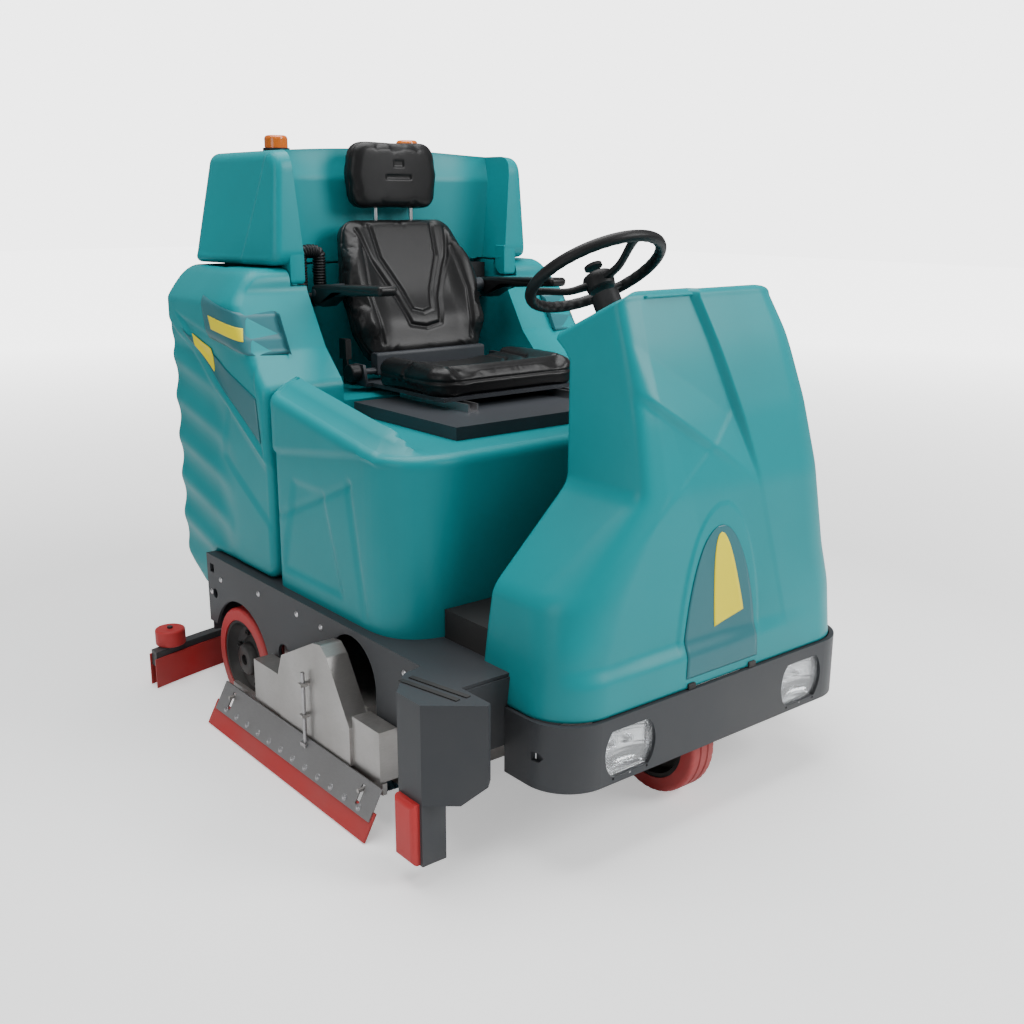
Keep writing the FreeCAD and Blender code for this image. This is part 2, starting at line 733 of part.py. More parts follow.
# ---------------------------------------------------------------- solution tank
def solution_outer():
    body = front_rounded(TANK_HALF, SOLUTION_FRONT, SOLUTION_REAR, SOLUTION_CORNER,
                         DECK_TOP, SOLUTION_TOP)
    shoulder = side_prism([(SOLUTION_FRONT + 45, SOLUTION_TOP - 20), (SOLUTION_FRONT + 60, 842),
                           (560, 872), (620, 884), (1010, 952), (SOLUTION_REAR, 944),
                           (SOLUTION_REAR, SOLUTION_TOP - 20)], SHOULDER_IN, TANK_HALF)
    slope = front_prism([(SHOULDER_IN, 970), (TANK_HALF + 5, 915), (TANK_HALF + 5, 990),
                         (SHOULDER_IN, 990)], SOLUTION_FRONT, SOLUTION_REAR + 5)
    rim = front_rounded(TANK_HALF, SOLUTION_FRONT, SOLUTION_REAR, SOLUTION_CORNER,
                        DECK_TOP, RECOVERY_TOP)
    shoulder = shoulder.cut(slope).common(rim)
    return joined([body] + pair(shoulder))


FILLER_X = 515.0
FILLER_S = 640.0
FILLER_TOP = 900.0


def solution_tank():
    outer = solution_outer()
    neck = rod_z(FILLER_X, FILLER_S, SOLUTION_TOP, FILLER_TOP, FILLER_R + 8)
    outer = outer.fuse(neck).removeSplitter()
    well = slab(WELL_HALF, WELL_FRONT, WELL_REAR, WELL_LOW, SOLUTION_TOP + 1)
    side = box(WELL_HALF + TANK_WALL, TANK_HALF - 2 * TANK_WALL, 560, SOLUTION_REAR - 30,
               DECK_TOP + TANK_WALL, SOLUTION_TOP - 2 * TANK_WALL)
    front = slab(330, SOLUTION_FRONT + 2 * TANK_WALL, WELL_FRONT - TANK_WALL,
                 DECK_TOP + TANK_WALL, SOLUTION_TOP - 2 * TANK_WALL)
    link = pair(box(320, 400, SOLUTION_FRONT + 60, 570, DECK_TOP + TANK_WALL,
                    SOLUTION_TOP - 2 * TANK_WALL))
    hollow = joined(pair(side) + [front] + link)
    hollow = hollow.fuse(rod_z(FILLER_X, FILLER_S, 800, FILLER_TOP + 1, FILLER_R))
    return outer.cut(well).cut(hollow)


def filler_cap():
    top = rod_z(FILLER_X, FILLER_S, FILLER_TOP, FILLER_TOP + 18, FILLER_R + 10)
    plug = rod_z(FILLER_X, FILLER_S, FILLER_TOP - 20, FILLER_TOP, FILLER_R - 1)
    return top.fuse(plug).removeSplitter()


def battery_pack():
    cells = []
    for i in range(3):
        s0 = 550 + i * 133
        for x0 in (-296, 4):
            cell = box(x0, x0 + 292, s0, s0 + 128, WELL_LOW, 770)
            post = rod_z(x0 + 60, s0 + 64, 770, 785, 12)
            cells.append(joined([cell, post, rod_z(x0 + 232, s0 + 64, 770, 785, 12)]))
    return cells


# ---------------------------------------------------------------- seat
def seat_plate():
    plate = slab(SEAT_PLATE_HALF, SEAT_PLATE_FRONT, SEAT_PLATE_REAR, SEAT_PLATE_TOP - 6,
                 SEAT_PLATE_TOP)
    flange = slab(SEAT_PLATE_HALF, SEAT_PLATE_FRONT, SEAT_PLATE_FRONT + 6, SOLUTION_TOP,
                  SEAT_PLATE_TOP)
    sides = pair(box(SEAT_PLATE_HALF - 6, SEAT_PLATE_HALF, SEAT_PLATE_FRONT, SEAT_PLATE_REAR,
                     SOLUTION_TOP, SEAT_PLATE_TOP))
    rear = slab(SEAT_PLATE_HALF, SEAT_PLATE_REAR - 6, SEAT_PLATE_REAR, SOLUTION_TOP,
                SEAT_PLATE_TOP)
    return joined([plate, flange, rear] + sides)


RAIL_TOP = SEAT_PLATE_TOP + RAIL_H


def seat_rails():
    """Two channels, open at the top, that the runners under the seat pan slide in."""
    rail = box(RAIL_X - 16, RAIL_X + 16, 700, SEAT_PLATE_REAR - 6, SEAT_PLATE_TOP, RAIL_TOP)
    slot = box(RAIL_X - 11, RAIL_X + 11, 699, SEAT_PLATE_REAR, SEAT_PLATE_TOP + 4, RAIL_TOP + 1)
    return pair(rail.cut(slot))


SLIDE_GAP = 0.5
BRACKET_X = 228.0
RECLINE_S = 1126.0
RECLINE_Z = 918.0
RECLINE_R = 9.0
CUSHION_LOW = RAIL_TOP + SLIDE_GAP + PAN_T + SEAT_GAP


def seat_frame():
    low = RAIL_TOP + SLIDE_GAP
    pan = slab(CUSHION_HALF - 20, CUSHION_FRONT + 10, CUSHION_REAR + 50, low, low + PAN_T)
    parts = [pan]
    parts += pair(box(RAIL_X - 10.5, RAIL_X + 10.5, 770, 990, SEAT_PLATE_TOP + 4.5, low + 1))
    ear = side_prism([(RECLINE_S - 40, low), (RECLINE_S + 40, low), (RECLINE_S + 24, RECLINE_Z + 22),
                      (RECLINE_S - 24, RECLINE_Z + 22)], BRACKET_X + 2, BRACKET_X + 10)
    link = box(CUSHION_HALF - 30, BRACKET_X + 10, RECLINE_S - 40, RECLINE_S + 28, low, low + PAN_T)
    parts += pair(ear) + pair(link)
    frame = joined(parts)
    bores = pair(rod_x(BRACKET_X, BRACKET_X + 12, RECLINE_S, RECLINE_Z, RECLINE_R + RUN_FIT))
    return frame.cut(group(bores))


def seat_cushion():
    return soft_block(-CUSHION_HALF, CUSHION_HALF, CUSHION_FRONT, CUSHION_REAR - 45, CUSHION_LOW,
                      CUSHION_LOW + CUSHION_T, 22)


def leaned(shape):
    """Leans a shape drawn upright at the foot of the backrest."""
    return turned(shape, BACK_S, BACK_Z, -BACK_TILT)


def seat_backrest():
    pad = box(-BACK_HALF, BACK_HALF, BACK_S, BACK_S + BACK_T, BACK_Z + 24, BACK_Z + BACK_LENGTH)
    pad = pad.makeFillet(24, pad.Edges)
    spine = box(-170, 170, BACK_S + 30, BACK_S + BACK_T - 20, BACK_Z - 10, BACK_Z + 60)
    body = joined([leaned(pad), leaned(spine)])
    tie = slab(BACK_HALF - 40, RECLINE_S - 14, RECLINE_S + 22, RECLINE_Z - 14, RECLINE_Z + 50)
    pivots = [rod_x(-BRACKET_X - 9, BRACKET_X + 9, RECLINE_S, RECLINE_Z, RECLINE_R)]
    bosses = pair(rod_x(BACK_HALF - 15, ARM_X + ARM_W + 4, ARM_PIVOT_S, ARM_PIVOT_Z, ARM_PIVOT_R))
    bosses += pair(rod_x(BACK_HALF - 15, ARM_X - 1, ARM_PIVOT_S, ARM_PIVOT_Z, 22))
    body = joined([body, tie] + pivots + bosses)
    y = HEAD_S + HEAD_T / 2
    return body.cut(group([rod_z(x, y, HEAD_LOW - 90, HEAD_TOP, POST_R + RUN_FIT)
                           for x in (-POST_X, POST_X)]))


def headrest():
    pad = soft_block(-HEAD_HALF, HEAD_HALF, HEAD_S, HEAD_S + HEAD_T, HEAD_LOW, HEAD_TOP, 26)
    y = HEAD_S + HEAD_T / 2
    posts = [rod_z(x, y, HEAD_LOW - 80, HEAD_LOW + 60, POST_R) for x in (-POST_X, POST_X)]
    return joined([pad] + posts)


def armrest():
    outline = [(895, 1165), (1242, 1150), (1246, 1110), (1224, 1090), (1190, 1090), (1130, 1122),
               (900, 1136)]
    body = side_prism(outline, ARM_X, ARM_X + ARM_W)
    body = rounded(body, 9, lambda e: along(e, Vector(1, 0, 0)))
    return body.cut(rod_x(ARM_X - 2, ARM_X + ARM_W + 2, ARM_PIVOT_S, ARM_PIVOT_Z,
                          ARM_PIVOT_R + RUN_FIT))


def seatbelt_buckle():
    low = RAIL_TOP + SLIDE_GAP
    stalk = box(-250, -244, 1165, 1185, low, 955)
    foot = box(-250, -BRACKET_X - 10, RECLINE_S + 14, 1185, low, low + 6)
    head = box(-256, -238, 1158, 1192, 950, 1005)
    return joined([stalk, foot, head])


def recline_knob():
    grip = rod_x(-270, -BRACKET_X - 10 - SEAT_GAP, RECLINE_S, RECLINE_Z, 24)
    return grip.makeFillet(5, [e for e in grip.Edges if e.Curve.TypeId == "Part::GeomCircle"])


# ---------------------------------------------------------------- recovery tank and lid
LUG_X0 = 386.0
LUG_X1 = 428.0
LUG_Z = 1186.0
LUG_R = 27.0
LUG_S = 1240.0


def recovery_outline():
    return [(RECOVERY_FRONT, DECK_TOP), (RECOVERY_FRONT, 912), (1124, 994), (1213, 1139),
            (1216, RECOVERY_TOP), (1590, RECOVERY_TOP), (1598, 1120), (1600, 1000), (1604, 367),
            (1471, 292), (TAIL_FRONT, 292), (TAIL_FRONT, DECK_TOP)]


def recovery_tank():
    body = side_prism(recovery_outline(), -TANK_HALF, TANK_HALF)
    top_taper = front_prism([(TANK_HALF - 70, RECOVERY_TOP + 1), (TANK_HALF + 1, 1120),
                             (TANK_HALF + 1, RECOVERY_TOP + 1)], CHASSIS_FRONT, LENGTH)
    recess = slab(RECESS_HALF, RECOVERY_FRONT - 40, RECESS_S, RECESS_LOW, RECOVERY_TOP + 1)
    body = body.cut(group(pair(top_taper))).cut(recess)
    floor = DECK_TOP + TANK_WALL
    cavity = slab(TANK_HALF - 80, RECESS_S + TANK_WALL, 1548, floor, RECOVERY_TOP + 1)
    cavity = cavity.fuse(slab(TANK_HALF - 10, RECESS_S + TANK_WALL, 1580, floor, 1090))
    lower = slab(TANK_HALF - 10, RECOVERY_FRONT + 10, RECESS_S + 30, floor, RECESS_LOW - TANK_WALL)
    notches = pair(box(RECESS_HALF - 1, ARM_OUT + 3, 1200, ARM_REAR + 4, ARM_TIP - 4,
                       RECOVERY_TOP + 1))
    lugs = pair(rod_x(LUG_X0, LUG_X1, LUG_S, LUG_Z, LUG_R))
    ears = pair(box(250, 270, 1588, HINGE_S + 10, HINGE_Z - 60, HINGE_Z - 8).fuse(
        rod_x(250, 270, HINGE_S, HINGE_Z, 14)))
    body = joined([body.cut(cavity.fuse(lower)).cut(group(notches))] + lugs + ears)
    return body.cut(rod_x(-300, 300, HINGE_S, HINGE_Z, HINGE_PIN_R))


def lid_section(z, inset):
    """Level outline of the lid: wider low down and at the rear."""
    share = (z - LID_LOW) / (LID_TOP - LID_LOW)
    front_half = 428 - 20 * share - inset
    rear_half = 502 - 64 * share - inset
    front = LID_FRONT + 8 * share + inset
    rear = 1606 - 4 * share - inset
    points = [Vector(-front_half, y_at(front), z), Vector(front_half, y_at(front), z),
              Vector(rear_half, y_at(rear - 60), z), Vector(rear_half - 60, y_at(rear), z),
              Vector(-rear_half + 60, y_at(rear), z), Vector(-rear_half, y_at(rear - 60), z)]
    return Part.makePolygon(points + [points[0]])


def tank_lid():
    outer = Part.makeLoft([lid_section(LID_LOW, 0), lid_section(LID_TOP, 0)], True, True)
    crown = front_prism([(-398, LID_TOP - 2), (-250, LID_TOP + 14), (0, LID_TOP + LID_CROWN),
                         (250, LID_TOP + 14), (398, LID_TOP - 2)], LID_FRONT + 12, 1601)
    outer = outer.fuse(crown)
    inner = Part.makeLoft([lid_section(LID_LOW - 20, 8), lid_section(LID_TOP - 8, 8)], True, True)
    wall = RECESS_S + 8
    recess_cut = front_prism([(-RECESS_HALF, LID_LOW - 80), (-372, LID_TOP + 60),
                              (372, LID_TOP + 60), (RECESS_HALF, LID_LOW - 80)],
                             LID_FRONT - 40, RECESS_S)
    recess_wall = front_prism([(-RECESS_HALF - 8, LID_LOW - 80), (-380, LID_TOP + 60),
                               (380, LID_TOP + 60), (RECESS_HALF + 8, LID_LOW - 80)],
                              LID_FRONT - 40, wall)
    hollow = inner.cut(recess_wall)
    shell = outer.cut(recess_cut).cut(hollow)
    shelf = slab(360, wall, 1603, 1290, 1298)
    shelf = shelf.common(outer)
    arms = pair(side_prism([(LID_FRONT + 2, ARM_TIP), (LID_FRONT + 2, LID_LOW + 40),
                            (ARM_REAR, LID_LOW + 40), (ARM_REAR, ARM_TIP + 20),
                            (ARM_REAR - 20, ARM_TIP)], RECESS_HALF + 3, ARM_OUT))
    knuckles = pair(rod_x(214, 249.5, HINGE_S, HINGE_Z, 14).fuse(
        side_prism([(1598, LID_LOW + 6), (HINGE_S, HINGE_Z), (HINGE_S + 14, HINGE_Z),
                    (HINGE_S + 10, HINGE_Z + 34), (1598, HINGE_Z + 50)], 214, 249.5)))
    lid = joined([shell, shelf] + arms + knuckles)
    lid = lid.cut(group(pair(rod_x(200, 249.8, HINGE_S, HINGE_Z, HINGE_PIN_R + RUN_FIT))))
    clear = pair(rod_x(LUG_X0 - 3, LUG_X1 + 3, LUG_S, LUG_Z, LUG_R + 4))
    clear += pair(rod_x(249.5, 271, HINGE_S, HINGE_Z, 18))
    holes = [beacon_foot(x) for x in (-BEACON_X, BEACON_X)]
    return lid.cut(group(clear + holes))


def lid_hinge_pins():
    return pair(rod_x(215, 272, HINGE_S, HINGE_Z, HINGE_PIN_R))


def vacuum_motor():
    motors = []
    for x in (-150, 150):
        base = rod_z(x, 1450, 1298, 1330, 70)
        head = rod_z(x, 1450, 1330, 1420, 52)
        motors.append(base.fuse(head))
    return motors


def beacon_foot(x):
    return rod_z(x, BEACON_S, LID_TOP - 4, LID_TOP + 22, BEACON_R)


def beacon_lens(x):
    dome_top = rod_z(x, BEACON_S, LID_TOP + 22, BEACON_TOP, BEACON_R - 5)
    return dome_top.makeFillet(10, [e for e in dome_top.Edges if e.CenterOfMass.z > BEACON_TOP - 1])


def fuse_box():
    return box(255, 322, RECESS_S - 72, RECESS_S, 1085, 1188)


HOSE_R = 19.0


def seat_hose():
    """A corrugated hose held at both ends in the recess behind the seat."""
    y_mid = y_at(1300)
    x_mid = -276.0
    reach = 42.0
    arc_z = 1205.0
    low_z = 1098.0
    half = reach / 2
    left = x_mid - half - 8
    right = x_mid + half + 8
    radius = (right - left) / 2
    y_wall = y_at(RECESS_S)
    bend = 40.0
    path = []
    top = Part.Arc(Vector(left, y_mid, arc_z), Vector((left + right) / 2, y_mid, arc_z + radius),
                   Vector(right, y_mid, arc_z)).toShape()
    for x in (left, right):
        start = Vector(x, y_wall, low_z)
        corner = Vector(x, y_mid + bend, low_z)
        middle = Vector(x, y_mid + bend - bend * math.sin(math.pi / 4),
                        low_z + bend - bend * math.cos(math.pi / 4))
        up = Vector(x, y_mid, low_z + bend)
        leg = [Part.makeLine(start, corner), Part.Arc(corner, middle, up).toShape(),
               Part.makeLine(up, Vector(x, y_mid, arc_z))]
        path.append(leg)
    wire = Part.Wire(path[0] + [top] + list(reversed(path[1])))
    ring = Part.Wire(Part.makeCircle(HOSE_R, Vector(left, y_wall, low_z), Vector(0, -1, 0)))
    return wire.makePipeShell([ring], True, False)


# ---------------------------------------------------------------- scrub head
def scrub_deck():
    top = slab(HEAD_HALF_WIDTH, HEAD_FRONT, HEAD_REAR, HEAD_PLATE_TOP - HEAD_PLATE_T,
               HEAD_PLATE_TOP)
    front = slab(HEAD_HALF_WIDTH, HEAD_FRONT, HEAD_FRONT + HEAD_PLATE_T, HEAD_SKIRT_LOW,
                 HEAD_PLATE_TOP)
    rear = slab(HEAD_HALF_WIDTH, HEAD_REAR - HEAD_PLATE_T, HEAD_REAR, HEAD_SKIRT_LOW,
                HEAD_PLATE_TOP)
    end = box(HEAD_HALF_WIDTH - HEAD_PLATE_T, HEAD_HALF_WIDTH, HEAD_FRONT, HEAD_REAR,
              HEAD_SKIRT_LOW, HEAD_PLATE_TOP)
    boss = box(HEAD_HALF_WIDTH, COVER_IN, ARCH_S - 70, ARCH_S + 70, 170, HEAD_PLATE_TOP)
    sleeve = rod_z(GUIDE_X, GUIDE_S, HEAD_PLATE_TOP, HEAD_PLATE_TOP + 55, GUIDE_R + 12)
    motor = box(-120, 20, 760, 900, HEAD_PLATE_TOP, HEAD_PLATE_TOP + 70)
    deck = joined([top, front, rear, motor] + pair(end) + pair(boss) + pair(sleeve))
    bores = pair(rod_z(GUIDE_X, GUIDE_S, HEAD_PLATE_TOP - 20, HEAD_PLATE_TOP + 60,
                       GUIDE_R + RUN_FIT))
    for station in (BRUSH_FRONT, BRUSH_REAR):
        bores.append(rod_x(-HEAD_HALF_WIDTH - 1, HEAD_HALF_WIDTH + 1, station, BRUSH_Z,
                           BRUSH_SHAFT_R + RUN_FIT))
    return deck.cut(group(bores))


def brush(station):
    core = rod_x(-BRUSH_HALF, BRUSH_HALF, station, BRUSH_Z, BRUSH_R)
    shaft = rod_x(-HEAD_HALF_WIDTH - 6, HEAD_HALF_WIDTH + 6, station, BRUSH_Z, BRUSH_SHAFT_R)
    return core.fuse(shaft)


COVER_OUTLINE = ((877, COVER_LOW), (877, 232), (855, 286), (695, 366), (660, 372), (632, 350),
                 (540, 207), (540, COVER_LOW))


def belt_cover():
    plate = side_prism(COVER_OUTLINE, COVER_IN, COVER_OUT)
    plate = rounded(plate, 14, lambda e: along(e, Vector(1, 0, 0))
                    and 340 < e.CenterOfMass.z < 380)
    rear = box(COVER_IN, COVER_OUT - 2, 877, 1012, COVER_LOW, 226)
    front = box(COVER_IN, COVER_OUT - 8, 426, 540, COVER_LOW, 234)
    carrier = box(COVER_OUT - 22, COVER_OUT - 10, SKIRT_FRONT + 20, SKIRT_REAR - 10, 84, COVER_LOW)
    pins = [rod_x(COVER_OUT - 10, SKIRT_LOW_X - 8, s, SLOT_Z, 5)
            for s in (SKIRT_FRONT + SLOT_SIDE, SKIRT_REAR - SLOT_SIDE)]
    guides = []
    for z in (170, 250):
        guide = box(COVER_OUT, COVER_OUT + 22, ROD_S - 8, ROD_S + 8, z, z + 8)
        guides.append(guide.cut(rod_z(ROD_X, ROD_S, z - 1, z + 9, ROD_R + RUN_FIT)))
    shell = joined([plate, rear, front, carrier] + guides)
    hollow = side_prism([(870, COVER_LOW + 6), (870, 228), (850, 280), (695, 357), (545, 207),
                         (545, COVER_LOW + 6)], COVER_IN - 1, COVER_OUT - 5)
    return joined([shell.cut(hollow)] + pins)


SLOT_Z = 92.0
ROD_S = 728.0
ROD_X = 662.0
ROD_R = 5.0
SKIRT_LIFT = 22.0


def skirt_point(share):
    x = SKIRT_TOP_X + (SKIRT_LOW_X - SKIRT_TOP_X) * share
    z = SKIRT_TOP_Z + (SKIRT_LOW_Z - SKIRT_TOP_Z) * share
    return x, z


def side_skirt():
    top = skirt_point(0)
    low = skirt_point(1)
    plate = front_prism([top, (top[0] + SKIRT_T, top[1] + 1), (low[0] + SKIRT_T, low[1]), low],
                        SKIRT_FRONT, SKIRT_REAR)
    slots = []
    for s in (SKIRT_FRONT + SLOT_SIDE, SKIRT_REAR - SLOT_SIDE):
        slots.append(box(COVER_OUT, SKIRT_LOW_X, s - 7, s + 7, SLOT_Z - SKIRT_LIFT - 10,
                         SLOT_Z + 10))
    plate = plate.cut(group(slots))
    tab = box(ROD_X - 8, ROD_X + 8, ROD_S - 12, ROD_S + 12, 94, 104)
    rod = rod_z(ROD_X, ROD_S, 100, 285, ROD_R)
    return joined([plate, tab, rod])


def skirt_blade():
    """A red strip clamped behind the lower half of the skirt, in line with it."""
    top = skirt_point(BLADE_START)
    low = skirt_point(BLADE_REACH)
    run_x = SKIRT_LOW_X - SKIRT_TOP_X
    run_z = SKIRT_LOW_Z - SKIRT_TOP_Z
    length = math.hypot(run_x, run_z)
    in_x = run_z / length * SKIRT_BLADE_T
    in_z = -run_x / length * SKIRT_BLADE_T
    return front_prism([top, low, (low[0] + in_x, low[1] + in_z), (top[0] + in_x, top[1] + in_z)],
                       SKIRT_FRONT - 6, SKIRT_REAR + 14)


# ---------------------------------------------------------------- rear squeegee
SQUEEGEE_R = (SQUEEGEE_HALF ** 2 + SQUEEGEE_SAG ** 2) / (2 * SQUEEGEE_SAG)


def bow(depth, thickness, z0, z1, half):
    """A strip bent to the squeegee's curve, set in by depth from the rearmost line."""
    centre = LENGTH - SQUEEGEE_R
    ring = rod_z(0, centre, z0, z1, SQUEEGEE_R - depth)
    ring = ring.cut(rod_z(0, centre, z0 - 1, z1 + 1, SQUEEGEE_R - depth - thickness))
    return ring.common(slab(half, LENGTH - 250, LENGTH + 10, z0 - 2, z1 + 2))


def squeegee_holder():
    body = bow(BLADE_T + SEAT_GAP, SQUEEGEE_BODY_T, SQUEEGEE_BODY_LOW, SQUEEGEE_BODY_TOP,
               SQUEEGEE_HALF - 6)
    rim_s = roller_station()
    pads = [rod_z(x, rim_s, SQUEEGEE_BODY_TOP - 10, SQUEEGEE_BODY_TOP, 22)
            for x in (-ROLLER_X, ROLLER_X)]
    pins = [rod_z(x, rim_s, SQUEEGEE_BODY_TOP - 10, SQUEEGEE_BODY_TOP + ROLLER_H + 6, 8)
            for x in (-ROLLER_X, ROLLER_X)]
    inlet = rod_z(0, LENGTH - INLET_INSET, BLADE_TOP - 5, SQUEEGEE_BODY_TOP + 45, INLET_R)
    bracket = slab(60, SWING_S - 26, LENGTH - 12, SQUEEGEE_BODY_TOP, SQUEEGEE_BODY_TOP + 8)
    swing = rod_z(0, SWING_S, SQUEEGEE_BODY_TOP, SQUEEGEE_BODY_TOP + 44, SWING_PIN_R)
    return joined([body, bracket, swing, inlet] + pads + pins)


def roller_station():
    return LENGTH - ROLLER_X ** 2 / (2 * SQUEEGEE_R) - SQUEEGEE_BODY_T / 2 - BLADE_T + 6


def squeegee_blades():
    rear = bow(0, BLADE_T, BLADE_LOW, BLADE_TOP, SQUEEGEE_HALF)
    front = bow(BLADE_T + SQUEEGEE_BODY_T + 2 * SEAT_GAP, BLADE_T, BLADE_LOW, BLADE_TOP - 6,
                SQUEEGEE_HALF)
    return [rear, front]


def squeegee_roller(side):
    low = SQUEEGEE_BODY_TOP + SEAT_GAP
    wheel = rod_z(side * ROLLER_X, roller_station(), low, low + ROLLER_H, ROLLER_R)
    wheel = wheel.makeFillet(6, [e for e in wheel.Edges if e.Curve.TypeId == "Part::GeomCircle"])
    return wheel.cut(rod_z(side * ROLLER_X, roller_station(), low - 1, low + ROLLER_H + 1,
                           8 + RUN_FIT))


def squeegee_arm():
    low = SQUEEGEE_BODY_TOP + 8 + SEAT_GAP
    hub = rod_z(0, SWING_S, low, low + 30, SWING_PIN_R + 16)
    beam = side_prism([(LIFT_S - 16, LIFT_Z - 12), (LIFT_S + 10, LIFT_Z + 14),
                       (SWING_S - 10, low + 30), (SWING_S + 10, low + 12), (SWING_S - 20, low)],
                      -36, 36)
    pin = rod_x(-84, 84, LIFT_S, LIFT_Z, LIFT_PIN_R)
    arm = joined([hub, beam, pin])
    return arm.cut(rod_z(0, SWING_S, low - 20, low + 60, SWING_PIN_R + RUN_FIT))


# ---------------------------------------------------------------- build
def build():
    save("chassis_frame", chassis_frame())
    save("bumper", bumper())
    save("headlight_housings", [headlight_housing(x) for x in (-LAMP_X, LAMP_X)])
    save("headlight_lenses", [headlight_lens(x) for x in (-LAMP_X, LAMP_X)])
    save("step_column", step_column())
    save("step_treads", step_treads())
    save("corner_buffer", corner_buffer())
    save("bolts_and_pins", bolts_and_pins())
    save("steering_fork", steering_fork())
    save("drive_motor", drive_motor())
    save("front_tyre", tyre(0, FRONT_TYRE_W, FRONT_TYRE_R, FRONT_RIM_R, FRONT_AXLE,
                            FRONT_TYRE_R, 3))
    save("front_rim", rim(0, FRONT_TYRE_W - 8, FRONT_RIM_R, FRONT_STUB_R + RUN_FIT, FRONT_AXLE,
                          FRONT_TYRE_R, -1))
    for name, side in (("right", -1), ("left", 1)):
        band, hub = rear_wheel(side)
        save("rear_tyre_" + name, band)
        save("rear_rim_" + name, hub)
    save("steering_column", steering_column())
    save("steering_wheel", steering_wheel())
    save("horn_button", horn_button())
    save("instrument_panel", instrument_panel())
    save("emergency_stop", emergency_stop())
    save("ignition_key", ignition_key())
    save("direction_lever", direction_lever())
    for name, x, width in PEDALS:
        save(name, pedal(x, width))
    save("floor_mat", floor_mat())
    save("front_cowl", front_cowl())
    save("solution_tank", solution_tank())
    save("filler_cap", filler_cap())
    save("battery_pack", battery_pack())
    save("seat_plate", seat_plate())
    save("seat_rails", seat_rails())
    save("seat_frame", seat_frame())
    save("seat_cushion", seat_cushion())
    save("seat_backrest", seat_backrest())
    save("headrest", headrest())
    save("armrest_left", armrest())
    save("armrest_right", mirrored(armrest()))
    save("seatbelt_buckle", seatbelt_buckle())
    save("recline_knob", recline_knob())
    save("recovery_tank", recovery_tank())
    save("tank_lid", tank_lid())
    save("vacuum_motors", vacuum_motor())
    save("beacon_bases", [beacon_foot(x) for x in (-BEACON_X, BEACON_X)])
    save("beacon_lenses", [beacon_lens(x) for x in (-BEACON_X, BEACON_X)])
    save("fuse_box", fuse_box())
    save("seat_hose", seat_hose())
    save("scrub_deck", scrub_deck())
    save("brush_front", brush(BRUSH_FRONT))
    save("brush_rear", brush(BRUSH_REAR))
    save("belt_covers", pair(belt_cover()))
    save("side_skirt_left", side_skirt())
    save("side_skirt_right", mirrored(side_skirt()))
    save("skirt_blade_left", skirt_blade())
    save("skirt_blade_right", mirrored(skirt_blade()))
    save("squeegee_arm", squeegee_arm())
    save("squeegee_holder", squeegee_holder())
    save("squeegee_blades", squeegee_blades())
    save("squeegee_roller_left", squeegee_roller(1))
    save("squeegee_roller_right", squeegee_roller(-1))


build()
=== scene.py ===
import json
import math

import bmesh
import bpy
import numpy as np
from mathutils import Matrix, Vector
from mathutils.bvhtree import BVHTree


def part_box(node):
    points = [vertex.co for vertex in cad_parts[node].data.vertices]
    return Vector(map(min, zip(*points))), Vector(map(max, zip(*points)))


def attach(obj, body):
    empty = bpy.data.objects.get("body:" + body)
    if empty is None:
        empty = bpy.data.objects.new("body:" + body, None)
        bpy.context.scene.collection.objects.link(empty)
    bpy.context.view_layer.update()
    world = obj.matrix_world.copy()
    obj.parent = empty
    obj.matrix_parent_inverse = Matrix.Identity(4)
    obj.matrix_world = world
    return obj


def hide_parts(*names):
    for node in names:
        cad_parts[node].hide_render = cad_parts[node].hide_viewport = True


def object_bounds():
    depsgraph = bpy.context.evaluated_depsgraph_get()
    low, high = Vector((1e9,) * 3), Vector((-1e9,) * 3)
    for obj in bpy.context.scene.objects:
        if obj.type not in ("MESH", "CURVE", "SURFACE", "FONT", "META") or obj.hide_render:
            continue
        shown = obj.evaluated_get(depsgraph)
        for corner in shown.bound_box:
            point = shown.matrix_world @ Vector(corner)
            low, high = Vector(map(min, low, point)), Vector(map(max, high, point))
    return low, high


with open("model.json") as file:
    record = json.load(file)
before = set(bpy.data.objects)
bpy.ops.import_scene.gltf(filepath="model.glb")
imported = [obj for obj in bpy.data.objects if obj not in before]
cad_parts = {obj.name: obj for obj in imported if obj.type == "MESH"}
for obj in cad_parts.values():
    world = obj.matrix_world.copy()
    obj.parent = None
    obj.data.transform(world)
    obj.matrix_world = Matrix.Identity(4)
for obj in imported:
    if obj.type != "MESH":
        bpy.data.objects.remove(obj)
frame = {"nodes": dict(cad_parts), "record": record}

cad_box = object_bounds()
FRONT_Y = cad_box[0].y


# ------------------------------------------------------------------ solution tank
# The clean-water tank is one rotationally moulded polyethylene shell with thick soft corners.
# It is pressed in teal colour right through, and bolts down on the chassis frame.

def at(station):
    """The y of a station, which is a distance behind the machine's front."""
    return FRONT_Y + station


def ramp(value, start, end):
    """A smooth step from 0 at start to 1 at end."""
    share = np.clip((value - start) / (end - start), 0, 1)
    return share * share * (3 - 2 * share)


def tidied(mesh, angle=35, merge=1e-5):
    """Merges points that meet, turns the faces outwards and shades smooth up to an angle."""
    work = bmesh.new()
    work.from_mesh(mesh)
    bmesh.ops.remove_doubles(work, verts=work.verts, dist=merge)
    bmesh.ops.dissolve_degenerate(work, dist=merge, edges=work.edges)
    bmesh.ops.recalc_face_normals(work, faces=work.faces)
    work.to_mesh(mesh)
    work.free()
    mesh.shade_smooth()
    mesh.set_sharp_from_angle(angle=math.radians(angle))
    return mesh


